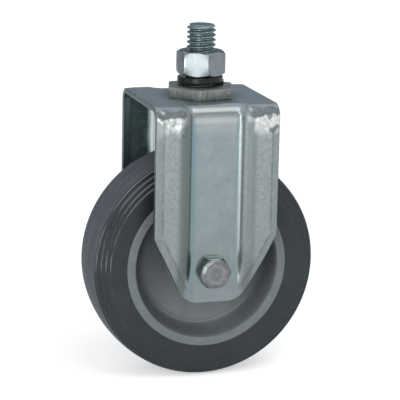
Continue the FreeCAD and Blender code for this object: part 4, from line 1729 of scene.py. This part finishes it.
def makeSpacers(s):
    end, step = s["length"], s["length"] - s["thick"]
    soft, wide = s["boreEdge"], s["flangeEdge"]
    corners = [
        (s["bore"], 0, soft),
        (s["bush"], 0, s["bushEdge"]),
        (s["bush"], step, wide),
        (s["flange"], step, wide),
        (s["flange"], end, wide),
        (s["bore"], end, soft),
    ]
    for side, place in (("front", outFront(s["seat"])), ("rear", outRear(s["seat"]))):
        spacer = turnedPiece(f"{side}_spacer_bush", corners, "spacerSteel", place, s["count"])
        settle(spacer, "carrier", f"{side}_spacer")


makeSpacers(spacerSizes)
print("spacers made")

# Bearings and their spacer keep their own shapes
nodeFinishes = {"bearing_spacer": "spacerSteel"}
for side in ("front", "rear"):
    nodeFinishes[f"{side}_ball_cage"] = "cagePlastic"
    for part in ("outer_race", "inner_race", "outboard_shield", "inboard_shield", "balls"):
        nodeFinishes[f"{side}_{part}"] = "bearingSteel"
for node, finish in nodeFinishes.items():
    mesh = frame["nodes"][node].data
    for index in range(len(mesh.materials)):
        mesh.materials[index] = finishes[finish]
print("bearings finished")

# Stage, in metres
stageSizes = {
    "floorHalf": 4.0,
    "floorColour": (0.82, 0.82, 0.82),
    "worldColour": (0.94, 0.97, 1, 1),
    "worldLight": 0.52,
    "floorGlow": 0.5,
    "farGlow": 0.75,
    "glowFrom": 0.3,
    "glowTo": 1.5,
}
cards = {
    # corners and colour
    "backCard": (
        [(-0.6, 1.7, 0.0), (2.2, 1.5, 0.0), (2.2, 1.5, 1.3), (-0.6, 1.7, 1.3)],
        (0.35, 0.42, 0.52),
    ),
    "leftCard": (
        [(-0.34, 0.06, -0.128), (-0.1, 0.34, -0.128), (-0.1, 0.34, 0.12), (-0.34, 0.06, 0.12)],
        (0.48, 0.54, 0.58),
    ),
}


def flatSheet(name, corners, colour):
    mesh = bpy.data.meshes.new(name)
    mesh.from_pydata(corners, [], [(0, 1, 2, 3)])
    sheet = bpy.data.objects.new(name, mesh)
    bpy.context.scene.collection.objects.link(sheet)
    material, tree, shader = newMaterial(
        name, Base_Color=(*colour, 1), Roughness=0.9, Specular_IOR_Level=0.0
    )
    mesh.materials.append(material)
    sheet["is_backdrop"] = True
    return sheet, tree, shader


def makeFloor(s):
    # the floor glows for the camera and in reflections alone, so it reads as white
    half, bottom = s["floorHalf"], cadBox[0].z
    corners = [(-half, -half, bottom), (half, -half, bottom), (half, half, bottom), (-half, half, bottom)]
    _, tree, shader = flatSheet("floor", corners, s["floorColour"])
    rays = addNode(tree, "ShaderNodeLightPath").outputs
    seen = larger(rays["Is Camera Ray"], rays["Is Glossy Ray"])
    away = addNode(tree, "ShaderNodeVectorMath", operation="LENGTH")
    feed(objectPlace(tree), away.inputs[0])
    glow = ramp(away.outputs["Value"], s["glowFrom"], s["glowTo"], s["floorGlow"], s["farGlow"])
    feed((1, 1, 1), shader.inputs["Emission Color"])
    feed(times(glow, seen), shader.inputs["Emission Strength"])


def makeWorld(s):
    # soft light on the object, plain white to the camera and in reflections
    world = bpy.data.worlds.new("studio")
    bpy.context.scene.world = world
    world.use_nodes = True
    tree = world.node_tree
    tree.nodes.clear()
    light = addNode(tree, "ShaderNodeBackground", Color=s["worldColour"], Strength=s["worldLight"])
    white = addNode(tree, "ShaderNodeBackground", Color=(1, 1, 1, 1), Strength=1.0)
    rays = addNode(tree, "ShaderNodeLightPath").outputs
    seen = larger(rays["Is Camera Ray"], rays["Is Glossy Ray"])
    mix = addNode(tree, "ShaderNodeMixShader")
    feed(larger(seen, rays["Is Transmission Ray"]), mix.inputs[0])
    feed(light.outputs[0], mix.inputs[1])
    feed(white.outputs[0], mix.inputs[2])
    feed(mix.outputs[0], addNode(tree, "ShaderNodeOutputWorld").inputs[0])


def addCard(name, corners, colour):
    # a coloured card outside the picture, which only the metal's reflections show
    card = flatSheet(name, corners, colour)[0]
    card.visible_camera = False
    card.visible_diffuse = False
    card.visible_shadow = False


def addLamp(name, place, aim, size, power, colour):
    data = bpy.data.lights.new(name, "AREA")
    data.shape = "RECTANGLE"
    data.size, data.size_y = size
    data.energy = power
    data.color = colour
    lamp = bpy.data.objects.new(name, data)
    lamp.location = place
    lamp.rotation_euler = (Vector(aim) - Vector(place)).to_track_quat("-Z", "Y").to_euler()
    bpy.context.scene.collection.objects.link(lamp)


lamps = {
    # place, aim, size, watts and colour
    "topLamp": ((0.2, -0.44, 0.8), (0, 0, -0.04), (0.9, 0.62), 3.4, (1, 1, 1)),
    "lowLamp": ((-0.27, -0.33, -0.02), (0, 0, -0.02), (0.2, 0.2), 0.45, (1, 0.99, 0.97)),
    "frontLamp": ((-0.5, -1.3, 0.75), (0, 0, -0.06), (0.7, 0.5), 3.5, (1, 1, 1)),
}
makeFloor(stageSizes)
makeWorld(stageSizes)
for name, values in lamps.items():
    addLamp(name, *values)
for name, values in cards.items():
    addCard(name, *values)
print("stage and lamps made")

# Camera, at the photograph's viewing angle; lengths in millimetres but for the clipping's
# metres, angles in degrees
cameraSizes = {
    "azimuth": -17.245,
    "elevation": 13.124,
    "roll": 1.239,
    "aside": 0.987,
    "height": -51.647,
    "distance": 913.289,
    "lens": 185.708,
    "sensor": 36,
    "clip": (0.01, 50),
}


def makeCamera(s):
    around, up, roll = (math.radians(s[key]) for key in ("azimuth", "elevation", "roll"))
    level = math.cos(up)
    back = Vector((math.sin(around) * level, -math.cos(around) * level, math.sin(up)))
    right = Vector((math.cos(around), math.sin(around), 0))
    above = back.cross(right)
    target = right * s["aside"] + Vector((0, 0, s["height"]))
    turnedRight = right * math.cos(roll) + above * math.sin(roll)
    turnedUp = above * math.cos(roll) - right * math.sin(roll)
    data = bpy.data.cameras.new("camera")
    data.lens = s["lens"]
    data.sensor_width = s["sensor"]
    data.clip_start, data.clip_end = s["clip"]
    camera = bpy.data.objects.new("camera", data)
    place = (target + back * s["distance"]) * mm
    turn = Matrix((turnedRight, turnedUp, back)).transposed().to_4x4()
    camera.matrix_world = Matrix.Translation(place) @ turn
    bpy.context.scene.collection.objects.link(camera)
    bpy.context.scene.camera = camera


makeCamera(cameraSizes)
bpy.context.scene.view_settings.view_transform = "Standard"
print("camera set")

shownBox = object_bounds()
boxes = {"cad": cadBox, "visual": shownBox}
{name: [list(corner) for corner in box] for name, box in boxes.items()}
